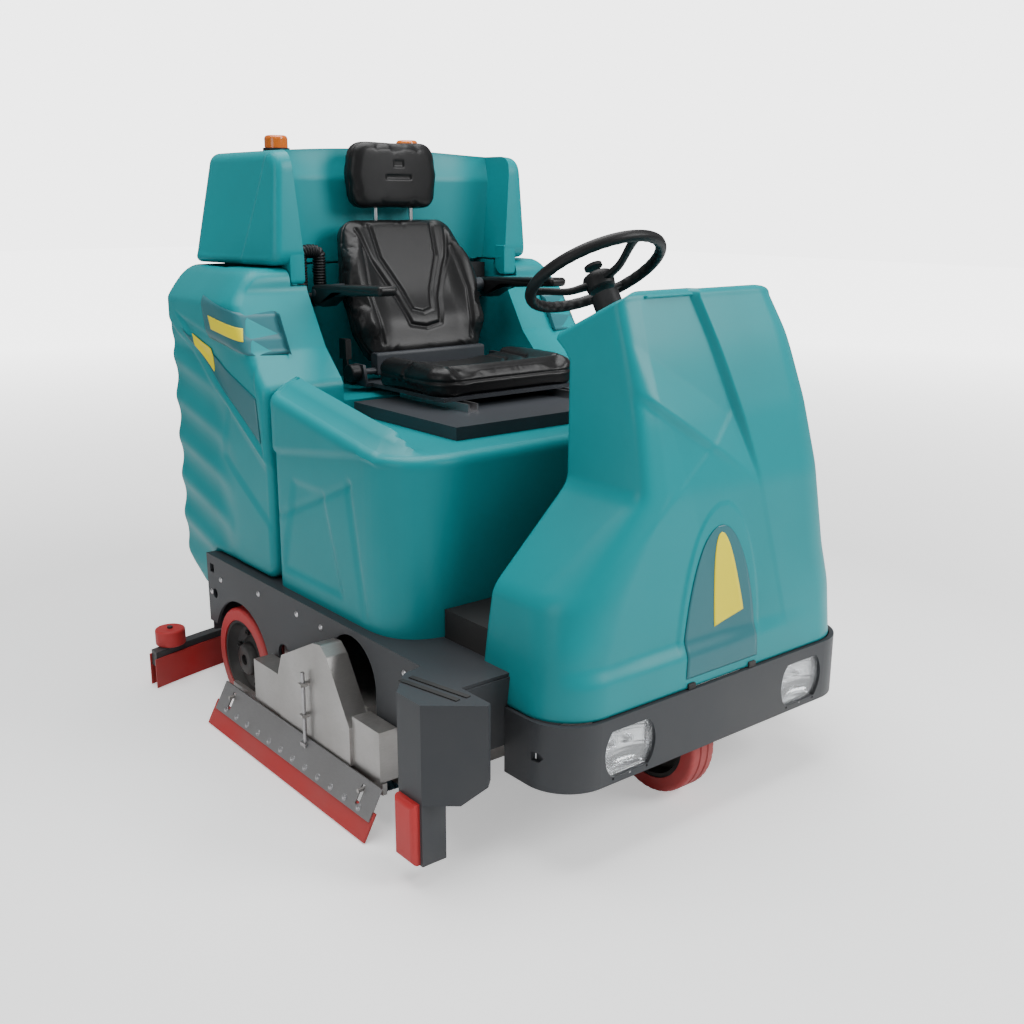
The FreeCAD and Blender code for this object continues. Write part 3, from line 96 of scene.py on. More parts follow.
def surface(name, points, ring=False, angle=35):
    """Quads over a grid of points, rows by columns; ring joins the last column to the first."""
    rows, cols = points.shape[:2]
    index = np.arange(rows * cols).reshape(rows, cols)
    if ring:
        index = np.hstack([index, index[:, :1]])
    quads = np.stack([index[:-1, :-1], index[:-1, 1:], index[1:, 1:], index[1:, :-1]], axis=-1)
    quads = quads.reshape(-1, 4)
    mesh = bpy.data.meshes.new(name)
    mesh.vertices.add(rows * cols)
    mesh.vertices.foreach_set("co", points.reshape(-1).astype(np.float32))
    mesh.loops.add(quads.size)
    mesh.loops.foreach_set("vertex_index", quads.reshape(-1).astype(np.int32))
    mesh.polygons.add(len(quads))
    mesh.polygons.foreach_set("loop_start", np.arange(0, quads.size, 4, dtype=np.int32))
    mesh.update(calc_edges=True)
    return tidied(mesh, angle)


def together(name, meshes):
    """One mesh that holds several."""
    work = bmesh.new()
    for mesh in meshes:
        work.from_mesh(mesh)
    whole = bpy.data.meshes.new(name)
    work.to_mesh(whole)
    work.free()
    return whole


def moved(mesh, matrix):
    """A copy of a mesh, placed by a matrix."""
    copy = mesh.copy()
    copy.transform(matrix)
    if matrix.determinant() < 0:
        copy.flip_normals()
    return copy


def piece(name, mesh, material, body, stands_for=()):
    """Shows a mesh as a piece of the machine that rides on a body."""
    made = bpy.data.objects.new(name, mesh)
    bpy.context.scene.collection.objects.link(made)
    mesh.materials.clear()
    mesh.materials.append(material)
    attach(made, body)
    if stands_for:
        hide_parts(*stands_for)
    return made


def rounded_outline(corners, count):
    """A closed outline through corners (a, b, radius), whose turns are parabolic arcs, in even steps."""
    corners = np.array(corners, float)
    tip = corners[:, None, :2]
    back = np.roll(corners[:, :2], 1, 0) - corners[:, :2]
    ahead = np.roll(corners[:, :2], -1, 0) - corners[:, :2]
    back /= np.linalg.norm(back, axis=1, keepdims=True)
    ahead /= np.linalg.norm(ahead, axis=1, keepdims=True)
    half_turn = np.arccos(np.clip((back * ahead).sum(1), -1, 1)) / 2
    cut = (corners[:, 2] / np.tan(half_turn))[:, None, None]
    share = np.linspace(0, 1, 13)[None, :, None]
    start = tip + back[:, None, :] * cut
    end = tip + ahead[:, None, :] * cut
    path = (1 - share) ** 2 * start + 2 * share * (1 - share) * tip + share ** 2 * end
    path = path.reshape(-1, 2)
    path = np.vstack([path, path[:1]])
    run = np.concatenate([[0], np.cumsum(np.linalg.norm(np.diff(path, axis=0), axis=1))])
    where = np.linspace(0, run[-1], count, endpoint=False)
    return np.stack([np.interp(where, run, path[:, 0]), np.interp(where, run, path[:, 1])], 1)


def inward_of(outline):
    """Unit normals of a closed counterclockwise outline, towards its inside."""
    along = np.roll(outline, -1, 0) - np.roll(outline, 1, 0)
    along /= np.linalg.norm(along, axis=1, keepdims=True)
    return np.stack([-along[:, 1], along[:, 0]], 1)


def line_side(a, b, start, end):
    """Signed distance of points (a, b) from the line through start and end, left positive."""
    run = np.subtract(end, start)
    run = run / np.linalg.norm(run)
    return run[0] * (b - start[1]) - run[1] * (a - start[0])


def near_line(a, b, start, end, width):
    """A soft ridge of height 1 along the stretch from start to end."""
    run = np.subtract(end, start)
    length = np.linalg.norm(run)
    run = run / length
    along = np.clip((a - start[0]) * run[0] + (b - start[1]) * run[1], 0, length)
    gap = np.hypot(a - start[0] - along * run[0], b - start[1] - along * run[1])
    return np.exp(-(gap / width) ** 2)


def inside_polygon(a, b, corners, soft):
    """1 inside a convex counterclockwise polygon, falling to 0 over soft outside its edges."""
    share = np.ones(np.broadcast(a, b).shape)
    for start, end in zip(corners, corners[1:] + corners[:1]):
        share = np.minimum(share, ramp(line_side(a, b, start, end), -soft, soft))
    return share


TEAL = (0.0002, 0.250, 0.278, 1)
TEAL_DULL = (0.0002, 0.225, 0.250, 1)
DUST_COLOUR = (0.33, 0.31, 0.28, 1)
DUST_LOW = 0.05
DUST_HIGH = 0.5
SPECULAR = 0.26


def node(tree, kind, sockets=(), **settings):
    """Adds a node with its settings. Each of its sockets takes a value, or a link from a socket."""
    made = tree.nodes.new(kind)
    for setting, value in settings.items():
        setattr(made, setting, value)
    for socket, value in dict(sockets).items():
        if isinstance(value, bpy.types.NodeSocket):
            tree.links.new(value, made.inputs[socket])
        else:
            made.inputs[socket].default_value = value
    return made


def surface_detail_group():
    """Colour, roughness and height of a made surface: broad patches, fine grain, dust low down."""
    tree = bpy.data.node_groups.new("surface_detail", "ShaderNodeTree")
    colours = (("Colour", (0.5, 0.5, 0.5, 1)), ("Patch Colour", (0.4, 0.4, 0.4, 1)))
    numbers = (("Patch Scale", 3.0), ("Grain Scale", 900.0), ("Grain Shade", 0.05), ("Smooth", 0.3),
               ("Rough", 0.45), ("Dust", 0.1), ("Stretch X", 1.0), ("Stretch Z", 1.0))
    for kind, rows in (("NodeSocketColor", colours), ("NodeSocketFloat", numbers)):
        for name, value in rows:
            socket = tree.interface.new_socket(name, in_out="INPUT", socket_type=kind)
            socket.default_value = value
    for name, kind in (("Colour", "NodeSocketColor"), ("Roughness", "NodeSocketFloat"),
                       ("Height", "NodeSocketFloat")):
        tree.interface.new_socket(name, in_out="OUTPUT", socket_type=kind)
    take = node(tree, "NodeGroupInput").outputs
    place = node(tree, "ShaderNodeTexCoord").outputs["Object"]
    stretch = node(tree, "ShaderNodeCombineXYZ",
                   {"X": take["Stretch X"], "Y": 1.0, "Z": take["Stretch Z"]})
    scaled = node(tree, "ShaderNodeVectorMath", {0: place, 1: stretch.outputs[0]},
                  operation="MULTIPLY")
    patch = node(tree, "ShaderNodeTexNoise",
                 {"Vector": place, "Scale": take["Patch Scale"], "Detail": 4.0}).outputs["Fac"]
    grain = node(tree, "ShaderNodeTexNoise",
                 {"Vector": scaled.outputs[0], "Scale": take["Grain Scale"],
                  "Detail": 2.0}).outputs["Fac"]
    spread = node(tree, "ShaderNodeMapRange",
                  {"Value": patch, "From Min": 0.35, "From Max": 0.68}).outputs[0]
    blend = node(tree, "ShaderNodeMix", data_type="RGBA")
    speck = node(tree, "ShaderNodeMix", data_type="RGBA", blend_type="OVERLAY")
    dust = node(tree, "ShaderNodeMix", data_type="RGBA")
    low = node(tree, "ShaderNodeMapRange",
               {"Value": node(tree, "ShaderNodeSeparateXYZ", {0: place}).outputs["Z"],
                "From Min": DUST_HIGH, "From Max": DUST_LOW})
    dusty = node(tree, "ShaderNodeMath", {0: low.outputs[0], 1: take["Dust"]}, operation="MULTIPLY")
    patchy = node(tree, "ShaderNodeMath", {0: dusty.outputs[0], 1: spread}, operation="MULTIPLY")
    dust.inputs["B"].default_value = DUST_COLOUR
    for mix, share, first, second in ((blend, spread, take["Colour"], take["Patch Colour"]),
                                      (speck, take["Grain Shade"], blend.outputs["Result"], grain),
                                      (dust, patchy.outputs[0], speck.outputs["Result"], None)):
        tree.links.new(share, mix.inputs["Factor"])
        tree.links.new(first, mix.inputs["A"])
        if second:
            tree.links.new(second, mix.inputs["B"])
    shine = node(tree, "ShaderNodeMapRange",
                 {"Value": patch, "To Min": take["Smooth"], "To Max": take["Rough"]})
    node(tree, "NodeGroupOutput", {"Colour": dust.outputs["Result"], "Roughness": shine.outputs[0],
                                   "Height": grain})
    return tree


SURFACE_DETAIL = surface_detail_group()


def material(name, colour, patch=None, smooth=0.3, rough=0.45, grain=900.0, shade=0.05, depth=0.00006,
             bump=0.3, metal=0.0, coat=0.0, dust=0.1, patch_scale=3.0, stretch=(1, 1)):
    """A made surface's finish, whose colour, roughness and bump come from the detail group."""
    made = bpy.data.materials.new(name)
    made.use_nodes = True
    nodes = made.node_tree.nodes
    shader = nodes["Principled BSDF"]
    detail = nodes.new("ShaderNodeGroup")
    detail.node_tree = SURFACE_DETAIL
    values = {"Colour": colour, "Patch Colour": patch or colour, "Patch Scale": patch_scale,
              "Grain Scale": grain, "Grain Shade": shade, "Smooth": smooth, "Rough": rough,
              "Dust": dust, "Stretch X": stretch[0], "Stretch Z": stretch[1]}
    for socket, value in values.items():
        detail.inputs[socket].default_value = value
    relief = node(made.node_tree, "ShaderNodeBump",
                  {"Height": detail.outputs["Height"], "Strength": bump, "Distance": depth})
    link = made.node_tree.links.new
    link(detail.outputs["Colour"], shader.inputs["Base Color"])
    link(detail.outputs["Roughness"], shader.inputs["Roughness"])
    link(relief.outputs["Normal"], shader.inputs["Normal"])
    shader.inputs["Metallic"].default_value = metal
    shader.inputs["Coat Weight"].default_value = coat
    shader.inputs["Specular IOR Level"].default_value = SPECULAR
    return made


teal_plastic = material("teal_plastic", TEAL, TEAL_DULL, smooth=0.30, rough=0.44, grain=1100.0,
                        shade=0.04, depth=0.0002, bump=0.35, dust=0.10)

TANK_HALF = 0.570
SOLUTION_FRONT = 0.442
SOLUTION_REAR = 1.034
SOLUTION_LOW = 0.410
SOLUTION_TOP = 0.830
SOLUTION_EDGE = 0.026
QUARTER_TURN = np.linspace(0, math.pi / 2, 7)


def standing(outline, low, top, edge, walls, caps, relief=None):
    """A body that stands on a level outline of points (x, station): its wall rises with relief,
    turns over a rounded edge and closes over the top to the middle."""
    inward = inward_of(outline)
    rows = []
    rim = top(outline[:, 0], outline[:, 1]) - edge
    for share in np.linspace(0, 1, walls):
        height = low + (rim - low) * share
        push = relief(outline[:, 0], outline[:, 1], height) if relief else 0
        flat = outline - inward * np.reshape(push, (-1, 1)) if relief else outline
        rows.append(np.column_stack([flat, height]))
    for angle in QUARTER_TURN[1:]:
        flat = outline + inward * edge * (1 - math.cos(angle))
        rows.append(np.column_stack([flat, rim + edge * math.sin(angle)]))
    ring = outline + inward * edge
    middle = np.column_stack([ring[:, 0] * 0, ring[:, 1] * 0 + ring[:, 1].mean()])
    for share in np.linspace(0, 1, caps)[1:]:
        flat = ring * (1 - share) + middle * share
        rows.append(np.column_stack([flat, top(flat[:, 0], flat[:, 1])]))
    base = [np.column_stack([outline * (1 - share) + middle * share, rows[0][:, 2]])
            for share in np.linspace(1, 0, 4)[:-1]]
    return np.array(base + rows)


def solution_top(x, station):
    """The tank's top: flat in the middle, with a shoulder along each side that climbs rearwards."""
    climb = np.interp(station, [0.487, 0.502, 0.560, 0.620, 1.010, 1.034],
                      [0, 0.012, 0.042, 0.054, 0.118, 0.112])
    shoulder = ramp(np.abs(x), 0.462, 0.492)
    fall = 0.5 * np.clip(np.abs(x) - 0.492, 0, 1)
    return SOLUTION_TOP + np.clip(climb - fall, 0, 1) * shoulder


def solution_relief(x, station, height):
    """The wall's pressed shape: a proud band along the top, a sunk panel and a raised wedge."""
    side = ramp(station, 0.45, 0.62)
    band = ramp(line_side(station, height, (0.50, 0.835), (1.034, 0.760)), -0.008, 0.008)
    wedge = inside_polygon(station, height, [(0.70, 0.46), (0.99, 0.46), (0.92, 0.70), (0.78, 0.70)],
                           0.012)
    fold = near_line(station, height, (0.60, 0.44), (0.66, 0.74), 0.012)
    slant = near_line(station, height, (0.66, 0.74), (1.00, 0.60), 0.010)
    return side * (0.008 * (band - 1) - 0.006 * wedge - 0.004 * fold - 0.004 * slant)


solution_plan = rounded_outline([(-TANK_HALF, SOLUTION_FRONT, 0.170), (TANK_HALF, SOLUTION_FRONT, 0.170),
                                 (TANK_HALF, SOLUTION_REAR, 0.050),
                                 (-TANK_HALF, SOLUTION_REAR, 0.050)], 420)
solution_points = standing(solution_plan, SOLUTION_LOW, solution_top, SOLUTION_EDGE, 64, 34,
                           solution_relief)
solution_points[:, :, 1] = at(solution_points[:, :, 1])
piece("solution_tank_shell", surface("solution_tank_shell", solution_points, ring=True, angle=50),
      teal_plastic, "chassis", ["solution_tank"])


# ------------------------------------------------------------------ recovery tank
# The dirty-water tank is a second moulded shell behind the seat. Its sides are ribbed so that
# the wide wall stays stiff, and its front is set back in the middle to make room for the seat.

RECOVERY_TOP = 1.195
RECESS_STATION = 1.362
RECESS_HALF = 0.335
RECESS_LOW = 0.870
RECOVERY_EDGE = 0.020


def across(outline, half, edge, middle_rows, faces):
    """A body carried across the machine: rows go from the middle of one side out to its rounded
    edge, straight over to the other side and back in to its middle. Points are (x, station, z)."""
    inward = inward_of(outline)
    centre = outline.mean(0)
    rim = outline + inward * edge
    rows = []
    for share in np.linspace(0, 1, faces):
        flat = centre + (rim - centre) * share
        rows.append(np.column_stack([half(flat[:, 0], flat[:, 1]), flat]))
    for angle in QUARTER_TURN[1:]:
        flat = outline + inward * edge * (1 - math.sin(angle))
        drop = edge * (1 - math.cos(angle))
        rows.append(np.column_stack([half(flat[:, 0], flat[:, 1]) - drop, flat]))
    for x in middle_rows:
        rows.append(np.column_stack([np.minimum(rows[-1][:, 0], x), outline]))
    rows = np.array(rows)
    other = rows[::-1] * (-1, 1, 1)
    return np.concatenate([rows, other])


def recovery_half(station, height):
    """Half the tank's width: full low down, drawn in at the top and towards the seat, and pressed
    with a sunk corner for the plate, a wedge below it and four slanting ribs at the rear."""
    half = TANK_HALF - 0.066 * np.clip((height - 1.105) / 0.09, 0, 1) ** 1.2
    half = half - 0.105 * ramp(height - 0.9 * (station - 1.04), 0.86, 1.16) * ramp(station, 1.34, 1.06)
    low = ramp(height, 1.02, 0.96)
    ribs = np.zeros(np.broadcast(station, height).shape)
    for step in range(5):
        ribs = np.maximum(ribs, near_line(station, height, (1.30 - 0.02 * step, 0.40 + 0.115 * step),
                                          (1.66, 0.50 + 0.115 * step), 0.030))
    zone = ramp(station, 1.22, 1.36) * ramp(height, 0.34, 0.42)
    plate = inside_polygon(station, height, [(1.06, 0.74), (1.30, 0.90), (1.52, 1.06), (1.10, 0.98)],
                           0.008)
    wedge = inside_polygon(station, height, [(1.05, 0.56), (1.30, 0.70), (1.26, 0.84), (1.05, 0.70)],
                           0.016)
    waist = ramp(line_side(station, height, (1.05, 0.72), (1.60, 1.05)), 0.010, -0.010)
    return half - 0.010 * low * zone * (1 - ribs) - 0.006 * plate - 0.006 * waist - 0.004 * wedge


recovery_side = rounded_outline([(1.040, 0.410, 0.045), (1.380, 0.410, 0.020), (1.408, 0.292, 0.035),
                                 (1.471, 0.292, 0.030), (1.604, 0.367, 0.050), (1.602, 1.000, 0.050),
                                 (1.600, 1.120, 0.050), (1.592, RECOVERY_TOP, 0.045),
                                 (1.216, RECOVERY_TOP, 0.040), (1.213, 1.139, 0.040),
                                 (1.124, 0.994, 0.040), (1.040, 0.912, 0.040)], 530)
recess_rows = np.concatenate([np.linspace(0.43, 0.36, 5), [0.345, 0.337, 0.335, 0.3349, 0.332, 0.325],
                              np.linspace(0.30, 0, 12)])
recovery_points = across(recovery_side, recovery_half, RECOVERY_EDGE, recess_rows, 60)


def set_back(points, half, station, low):
    """Pushes everything in the middle, above a height and ahead of a station, back to it."""
    x = np.abs(points[:, :, 0])
    share = (x <= half) * ramp(points[:, :, 2], low - 0.004, low)
    wanted = np.maximum(points[:, :, 1], station)
    points[:, :, 1] += (wanted - points[:, :, 1]) * share
    return points


recovery_points = set_back(recovery_points, RECESS_HALF, RECESS_STATION, RECESS_LOW)
recovery_points[:, :, 1] = at(recovery_points[:, :, 1])
recovery_shell = surface("recovery_tank_shell", recovery_points, ring=True, angle=50)


def block(name, low, high):
    """A plain cutting block between two corners given as (x, station, z)."""
    corners = np.array([[x, at(s), z] for x in (low[0], high[0]) for s in (low[1], high[1])
                        for z in (low[2], high[2])])
    faces = [(0, 1, 3, 2), (4, 6, 7, 5), (0, 4, 5, 1), (2, 3, 7, 6), (0, 2, 6, 4), (1, 5, 7, 3)]
    mesh = bpy.data.meshes.new(name)
    mesh.from_pydata(corners.tolist(), [], faces)
    return tidied(mesh)


def cut_away(mesh, cutters):
    """Takes the cutting meshes out of a closed mesh and gives the result."""
    work = bpy.data.objects.new("work", mesh)
    bpy.context.scene.collection.objects.link(work)
    tools = []
    for cutter in cutters:
        tool = bpy.data.objects.new("tool", cutter)
        bpy.context.scene.collection.objects.link(tool)
        cut = work.modifiers.new("cut", "BOOLEAN")
        cut.object = tool
        cut.solver = "EXACT"
        tools.append(tool)
    bpy.context.view_layer.update()
    result = bpy.data.meshes.new_from_object(work.evaluated_get(bpy.context.evaluated_depsgraph_get()))
    for spare in [work] + tools:
        bpy.data.objects.remove(spare)
    return tidied(result, 50, 1e-6)


WALL = 0.008
inside = [block("hollow", (-0.490, RECESS_STATION + WALL, 0.418), (0.490, 1.548, RECOVERY_TOP + 0.01))]
inside += [block("slot", (side * 0.334 if side > 0 else -0.385, 1.200, 1.148),
                 (0.385 if side > 0 else -0.334, 1.266, RECOVERY_TOP + 0.01)) for side in (-1, 1)]
recovery_shell = cut_away(recovery_shell, inside)
recovery_shell.name = "recovery_tank_shell"
piece("recovery_tank_shell", recovery_shell, teal_plastic, "chassis",
      ["recovery_tank"])


# ------------------------------------------------------------------ tank lid
# The hood over the recovery tank is one moulded teal shell, hollow underneath. Two wings reach
# forward beside the headrest, and the front between them is scooped out in one wide curve.

LID_TOP = 1.490
LID_CROWN = 0.021
WING_FOOT = 0.338
LID_EDGE = 0.022
lid_side = rounded_outline([(1.213, 1.201, 0.040), (1.606, 1.201, 0.040), (1.603, 1.400, 0.050),
                            (1.600, LID_TOP, 0.060), (1.222, LID_TOP, 0.050)], 560)


def lid_half(station, height):
    """Half the lid's width: 428 mm in front and 502 mm behind at the foot, less at the top, with a
    raised streak that runs down the side from the front corner."""
    share = (height - 1.199) / 0.291
    front = 0.427 - 0.020 * share
    rear = 0.501 - 0.064 * share
    half = front + (rear - front) * np.clip((station - 1.22) / 0.320, 0, 1)
    corner = np.clip((station - 1.538) / 0.068, 0, 1)
    streak = ramp(line_side(station, height, (1.27, 1.49), (1.36, 1.20)), -0.010, 0.010)
    lower = ramp(height, 1.23, 1.21)
    return half - 0.055 * corner ** 2 - 0.006 * streak + 0.002 * lower


lid_rows = np.concatenate([[0.370, 0.350, 0.3384, 0.338, 0.335, 0.331, 0.325, 0.316],
                           np.linspace(0.300, 0, 26)])
lid_points = across(lid_side, lid_half, LID_EDGE, lid_rows, 56)


def wing_edge(height):
    """How far from the middle the wings' inner side stands: a little more at the top."""
    return WING_FOOT + 0.026 * np.clip((height - 1.2) / 0.29, 0, 1)


def scoop(points):
    """Scoops the front between the wings: a curve back to the recess wall, deepest in the middle,
    and over it the crown, which is highest in the middle."""
    x = np.abs(points[:, :, 0])
    height = points[:, :, 2]
    edge = wing_edge(height)
    depth = RECESS_STATION - 0.045 * (x / edge) ** 6 + 0.004
    lean = 0.018 * ramp(height, 1.42, 1.49)
    wall = np.where(x <= edge, depth + lean, 0)
    points[:, :, 1] = np.maximum(points[:, :, 1], wall)
    points[:, :, 2] += LID_CROWN * ramp(height, 1.44, LID_TOP) * (1 - (x / 0.43) ** 2).clip(0, 1)
    return points


def to_edge(points):
    """Draws the rows between the wings out to the scoop's edge, so that its edge is one row."""
    x = points[:, :, 0]
    edge = wing_edge(points[:, :, 2])
    inner = x / WING_FOOT * edge
    outer = np.sign(x) * (edge + (np.abs(x) - WING_FOOT) * 0.5)
    spread = np.where(np.abs(x) < 0.386, outer, x)
    points[:, :, 0] = np.where(np.abs(x) <= WING_FOOT + 0.0001, inner, spread)
    return points


lid_points = scoop(to_edge(lid_points))
lid_points[:, :, 1] = at(lid_points[:, :, 1])
lid_shell = surface("tank_lid_shell", lid_points, ring=True, angle=50)
lid_cuts = [block("lid_hollow", (-0.400, 1.378, 1.19), (0.400, 1.580, 1.286)),
            block("lid_hollow_top", (-0.360, 1.390, 1.300), (0.360, 1.575, 1.470))]
lid_shell = cut_away(lid_shell, lid_cuts)
lid_shell.name = "tank_lid_shell"


def bar(name, outline, x_low, x_high, bevel=0.004):
    """A bar across the machine with a side outline of (station, z) and rounded edges."""
    outline = np.array(outline)
    centre = outline.mean(0)
    inset = centre + (outline - centre) * 0.94
    rings = [(x_low, centre), (x_low, inset), (x_low + bevel, outline), (x_high - bevel, outline),
             (x_high, inset), (x_high, centre)]
    points = np.array([np.column_stack([np.full(len(outline), x), at(flat[..., 0] + 0 * outline[:, 0]),
                                        flat[..., 1] + 0 * outline[:, 0]]) for x, flat in rings])
    return surface(name, points, ring=True, angle=30)


arm_outline = rounded_outline([(1.215, 1.153, 0.010), (1.240, 1.153, 0.010), (1.261, 1.172, 0.010),
                               (1.261, 1.240, 0.002), (1.215, 1.240, 0.002)], 60)
lid_arm_meshes = [bar("arm", arm_outline, 0.339, 0.381), bar("arm", arm_outline, -0.381, -0.339)]
knuckle_outline = rounded_outline([(1.598, 1.206, 0.003), (1.614, 1.183, 0.010), (1.633, 1.186, 0.010),
                                   (1.634, 1.222, 0.012), (1.598, 1.246, 0.004)], 48)
knuckles = [bar("knuckle", knuckle_outline, low_x, low_x + 0.034) for low_x in (0.215, -0.249)]
whole_lid = together("tank_lid_shell", [lid_shell] + lid_arm_meshes + knuckles)
whole_lid.set_sharp_from_angle(angle=math.radians(45))
piece("tank_lid_shell", whole_lid, teal_plastic, "lid", ["tank_lid"])


# ------------------------------------------------------------------ front cowl
# The cowl over the front wheel is one thick moulded teal shell, open below and behind. It is cut
# back to a narrow tower on the boarding side and runs down in one flare on the other.

COWL_LOW = 0.340
CREST_Z = 1.190
CREST_STATION = 0.117
CREST_FALL = math.tan(math.radians(24.7))
COWL_EDGE = 0.016
COWL_WALL = 0.006
CREST_PASSES = 4
LEVEL_BLEND = 0.018
COWL_LEVELS = np.array([
    # height, boarding side, other side, front station, boarding corner, other corner
    (0.335, 0.473, 0.473, 0.008, 0.118, 0.118),
    (0.480, 0.455, 0.460, 0.008, 0.128, 0.130),
    (0.575, 0.440, 0.443, 0.010, 0.150, 0.150),
    (0.775, 0.232, 0.404, 0.016, 0.070, 0.150),
    (0.930, 0.231, 0.372, 0.043, 0.060, 0.140),
    (1.045, 0.231, 0.335, 0.071, 0.060, 0.120),
    (1.088, 0.230, 0.312, 0.083, 0.060, 0.100),
    (1.230, 0.228, 0.232, 0.131, 0.060, 0.060)])


def level_of(column, height):
    """One column of the level table at any height, with its turns softened over 36 mm."""
    spread = np.linspace(-LEVEL_BLEND, LEVEL_BLEND, 7)
    values = [np.interp(height + step, COWL_LEVELS[:, 0], COWL_LEVELS[:, column]) for step in spread]
    return np.mean(values, axis=0)


def cowl_point(u, height):
    """Level outline of the cowl at a height, for u from 0 at the rear edge of the boarding side,
    over its corner (1 to 2), the front (2 to 3) and the other corner (3 to 4) to 5 at the rear."""
    near = -level_of(1, height)
    far = level_of(2, height)
    front = level_of(3, height)
    near_r = level_of(4, height)
    far_r = level_of(5, height)
    rear = np.interp(height, [0.335, 1.040, 1.092], [0.275, 0.275, 0.334])
    near_turn = np.clip(u - 1, 0, 1) * math.pi / 2
    far_turn = np.clip(u - 3, 0, 1) * math.pi / 2
    x = near + near_r * (1 - np.cos(near_turn))
    x = x + (far - far_r - near - near_r) * np.clip(u - 2, 0, 1) + far_r * np.sin(far_turn)
    station = rear + (front + near_r - rear) * np.clip(u, 0, 1) - near_r * np.sin(near_turn)
    station = station + far_r * (1 - np.cos(far_turn))
    station = station + (rear - front - far_r) * np.clip(u - 4, 0, 1)
    return x, station


def cowl_relief(x, height):
    """How far the front is pressed in: facets that meet in creases, and a proud pointed shield."""
    right = ramp(-line_side(x, height, (-0.015, 1.191), (0.124, 0.751)), -0.004, 0.012)
    upper = ramp(-line_side(x, height, (0.251, 1.082), (0.080, 0.945)), -0.004, 0.012)
    flare = ramp(line_side(x, height, (0.106, 0.765), (0.360, 0.600)), -0.004, 0.020)
    facet = 0.5 * right * (1 - upper) + right * upper
    slope_facet = np.clip(-line_side(x, height, (-0.015, 1.191), (0.124, 0.751)), 0, 0.2) * 0.07
    slope_flare = np.clip(line_side(x, height, (0.106, 0.765), (0.360, 0.600)), 0, 0.10) * 0.16
    shield = ramp(0.135 * np.sqrt(np.clip(1 - ((height - 0.34) / 0.40) ** 2, 0, 1)) - np.abs(x - 0.002),
                  -0.003, 0.008)
    around = (1 - shield) * ramp(height, 0.90, 0.60) * ramp(0.36 - np.abs(x), 0, 0.16)
    press = 0.003 * facet + slope_facet * (1 - flare) + slope_flare * right + 0.004 * around
    return press * ramp(height, 0.405, 0.450)


across_front = np.concatenate([np.linspace(0, 1, 30)[:-1], np.linspace(1, 2, 24)[:-1],
                               np.linspace(2, 3, 150)[:-1], np.linspace(3, 4, 36)[:-1],
                               np.linspace(4, 5, 30)])
up_wall = np.linspace(0, 1, 155)[:, None]
height = COWL_LOW + (CREST_Z - COWL_LOW) * up_wall + 0 * across_front
for settling in range(CREST_PASSES):
    x, station = cowl_point(across_front, height)
    crest = CREST_Z - np.clip(station - CREST_STATION, -0.05, 1) * CREST_FALL - COWL_EDGE
    height = COWL_LOW + (crest - COWL_LOW) * up_wall
press = cowl_relief(x, height) * ramp(across_front, 1.2, 1.9) * ramp(across_front, 3.8, 3.1)
station = station + press
middle_x = (x[-1, 0] + x[-1, -1]) / 2 + 0 * x[-1]
rows = [np.stack([x, at(station), height], axis=-1)]
for turn in QUARTER_TURN[1:]:
    inset = COWL_EDGE * (1 - math.cos(turn))
    reach = np.hypot(x[-1] - middle_x, 0.12)
    share = inset / reach
    edge_x = x[-1] + (middle_x - x[-1]) * share
    edge_s = station[-1] + inset * ramp(across_front, 1.2, 2) * ramp(across_front, 3.8, 3)
    rows.append(np.stack([edge_x, at(edge_s), height[-1] + COWL_EDGE * math.sin(turn) + 0 * edge_x],
                         axis=-1)[None])
cowl_mesh = surface("front_cowl_shell", np.concatenate(rows), angle=40)
top_stations = np.linspace(edge_s.min(), edge_s.max(), 60)[:, None]
near_edge = np.interp(top_stations, edge_s[across_front <= 2][::-1], edge_x[across_front <= 2][::-1])
far_edge = np.interp(top_stations, edge_s[across_front >= 3], edge_x[across_front >= 3])
top_share = np.linspace(0, 1, 60)[None, :]
top_height = CREST_Z - np.clip(top_stations - CREST_STATION, -0.05, 1) * CREST_FALL
top_mesh = surface("cowl_top", np.stack([near_edge + (far_edge - near_edge) * top_share,
                                         at(top_stations) + 0 * top_share,
                                         top_height + 0 * top_share], axis=-1))


def with_wall(mesh, wall, offset=-1.0):
    """Gives an open surface a wall of that thickness, inwards for an offset of -1."""
    work = bpy.data.objects.new("work", mesh)
    bpy.context.scene.collection.objects.link(work)
    skin = work.modifiers.new("wall", "SOLIDIFY")
    skin.thickness = wall
    skin.offset = offset
    result = bpy.data.meshes.new_from_object(work.evaluated_get(bpy.context.evaluated_depsgraph_get()))
    bpy.data.objects.remove(work)
    return result


if top_mesh.polygons[0].normal.z < 0:
    top_mesh.flip_normals()
cowl_whole = together("front_cowl_shell",
                      [with_wall(mesh, COWL_WALL) for mesh in (cowl_mesh, top_mesh)])
cowl_whole.name = "front_cowl_shell"
piece("front_cowl_shell", cowl_whole, teal_plastic, "chassis", ["front_cowl"])


# ------------------------------------------------------------------ finishes of the other parts
# Parts whose shape is complete in the frame get their real finish here: powder coat, brushed or
# turned metal, moulded rubber, polyurethane and clear or amber plastic.

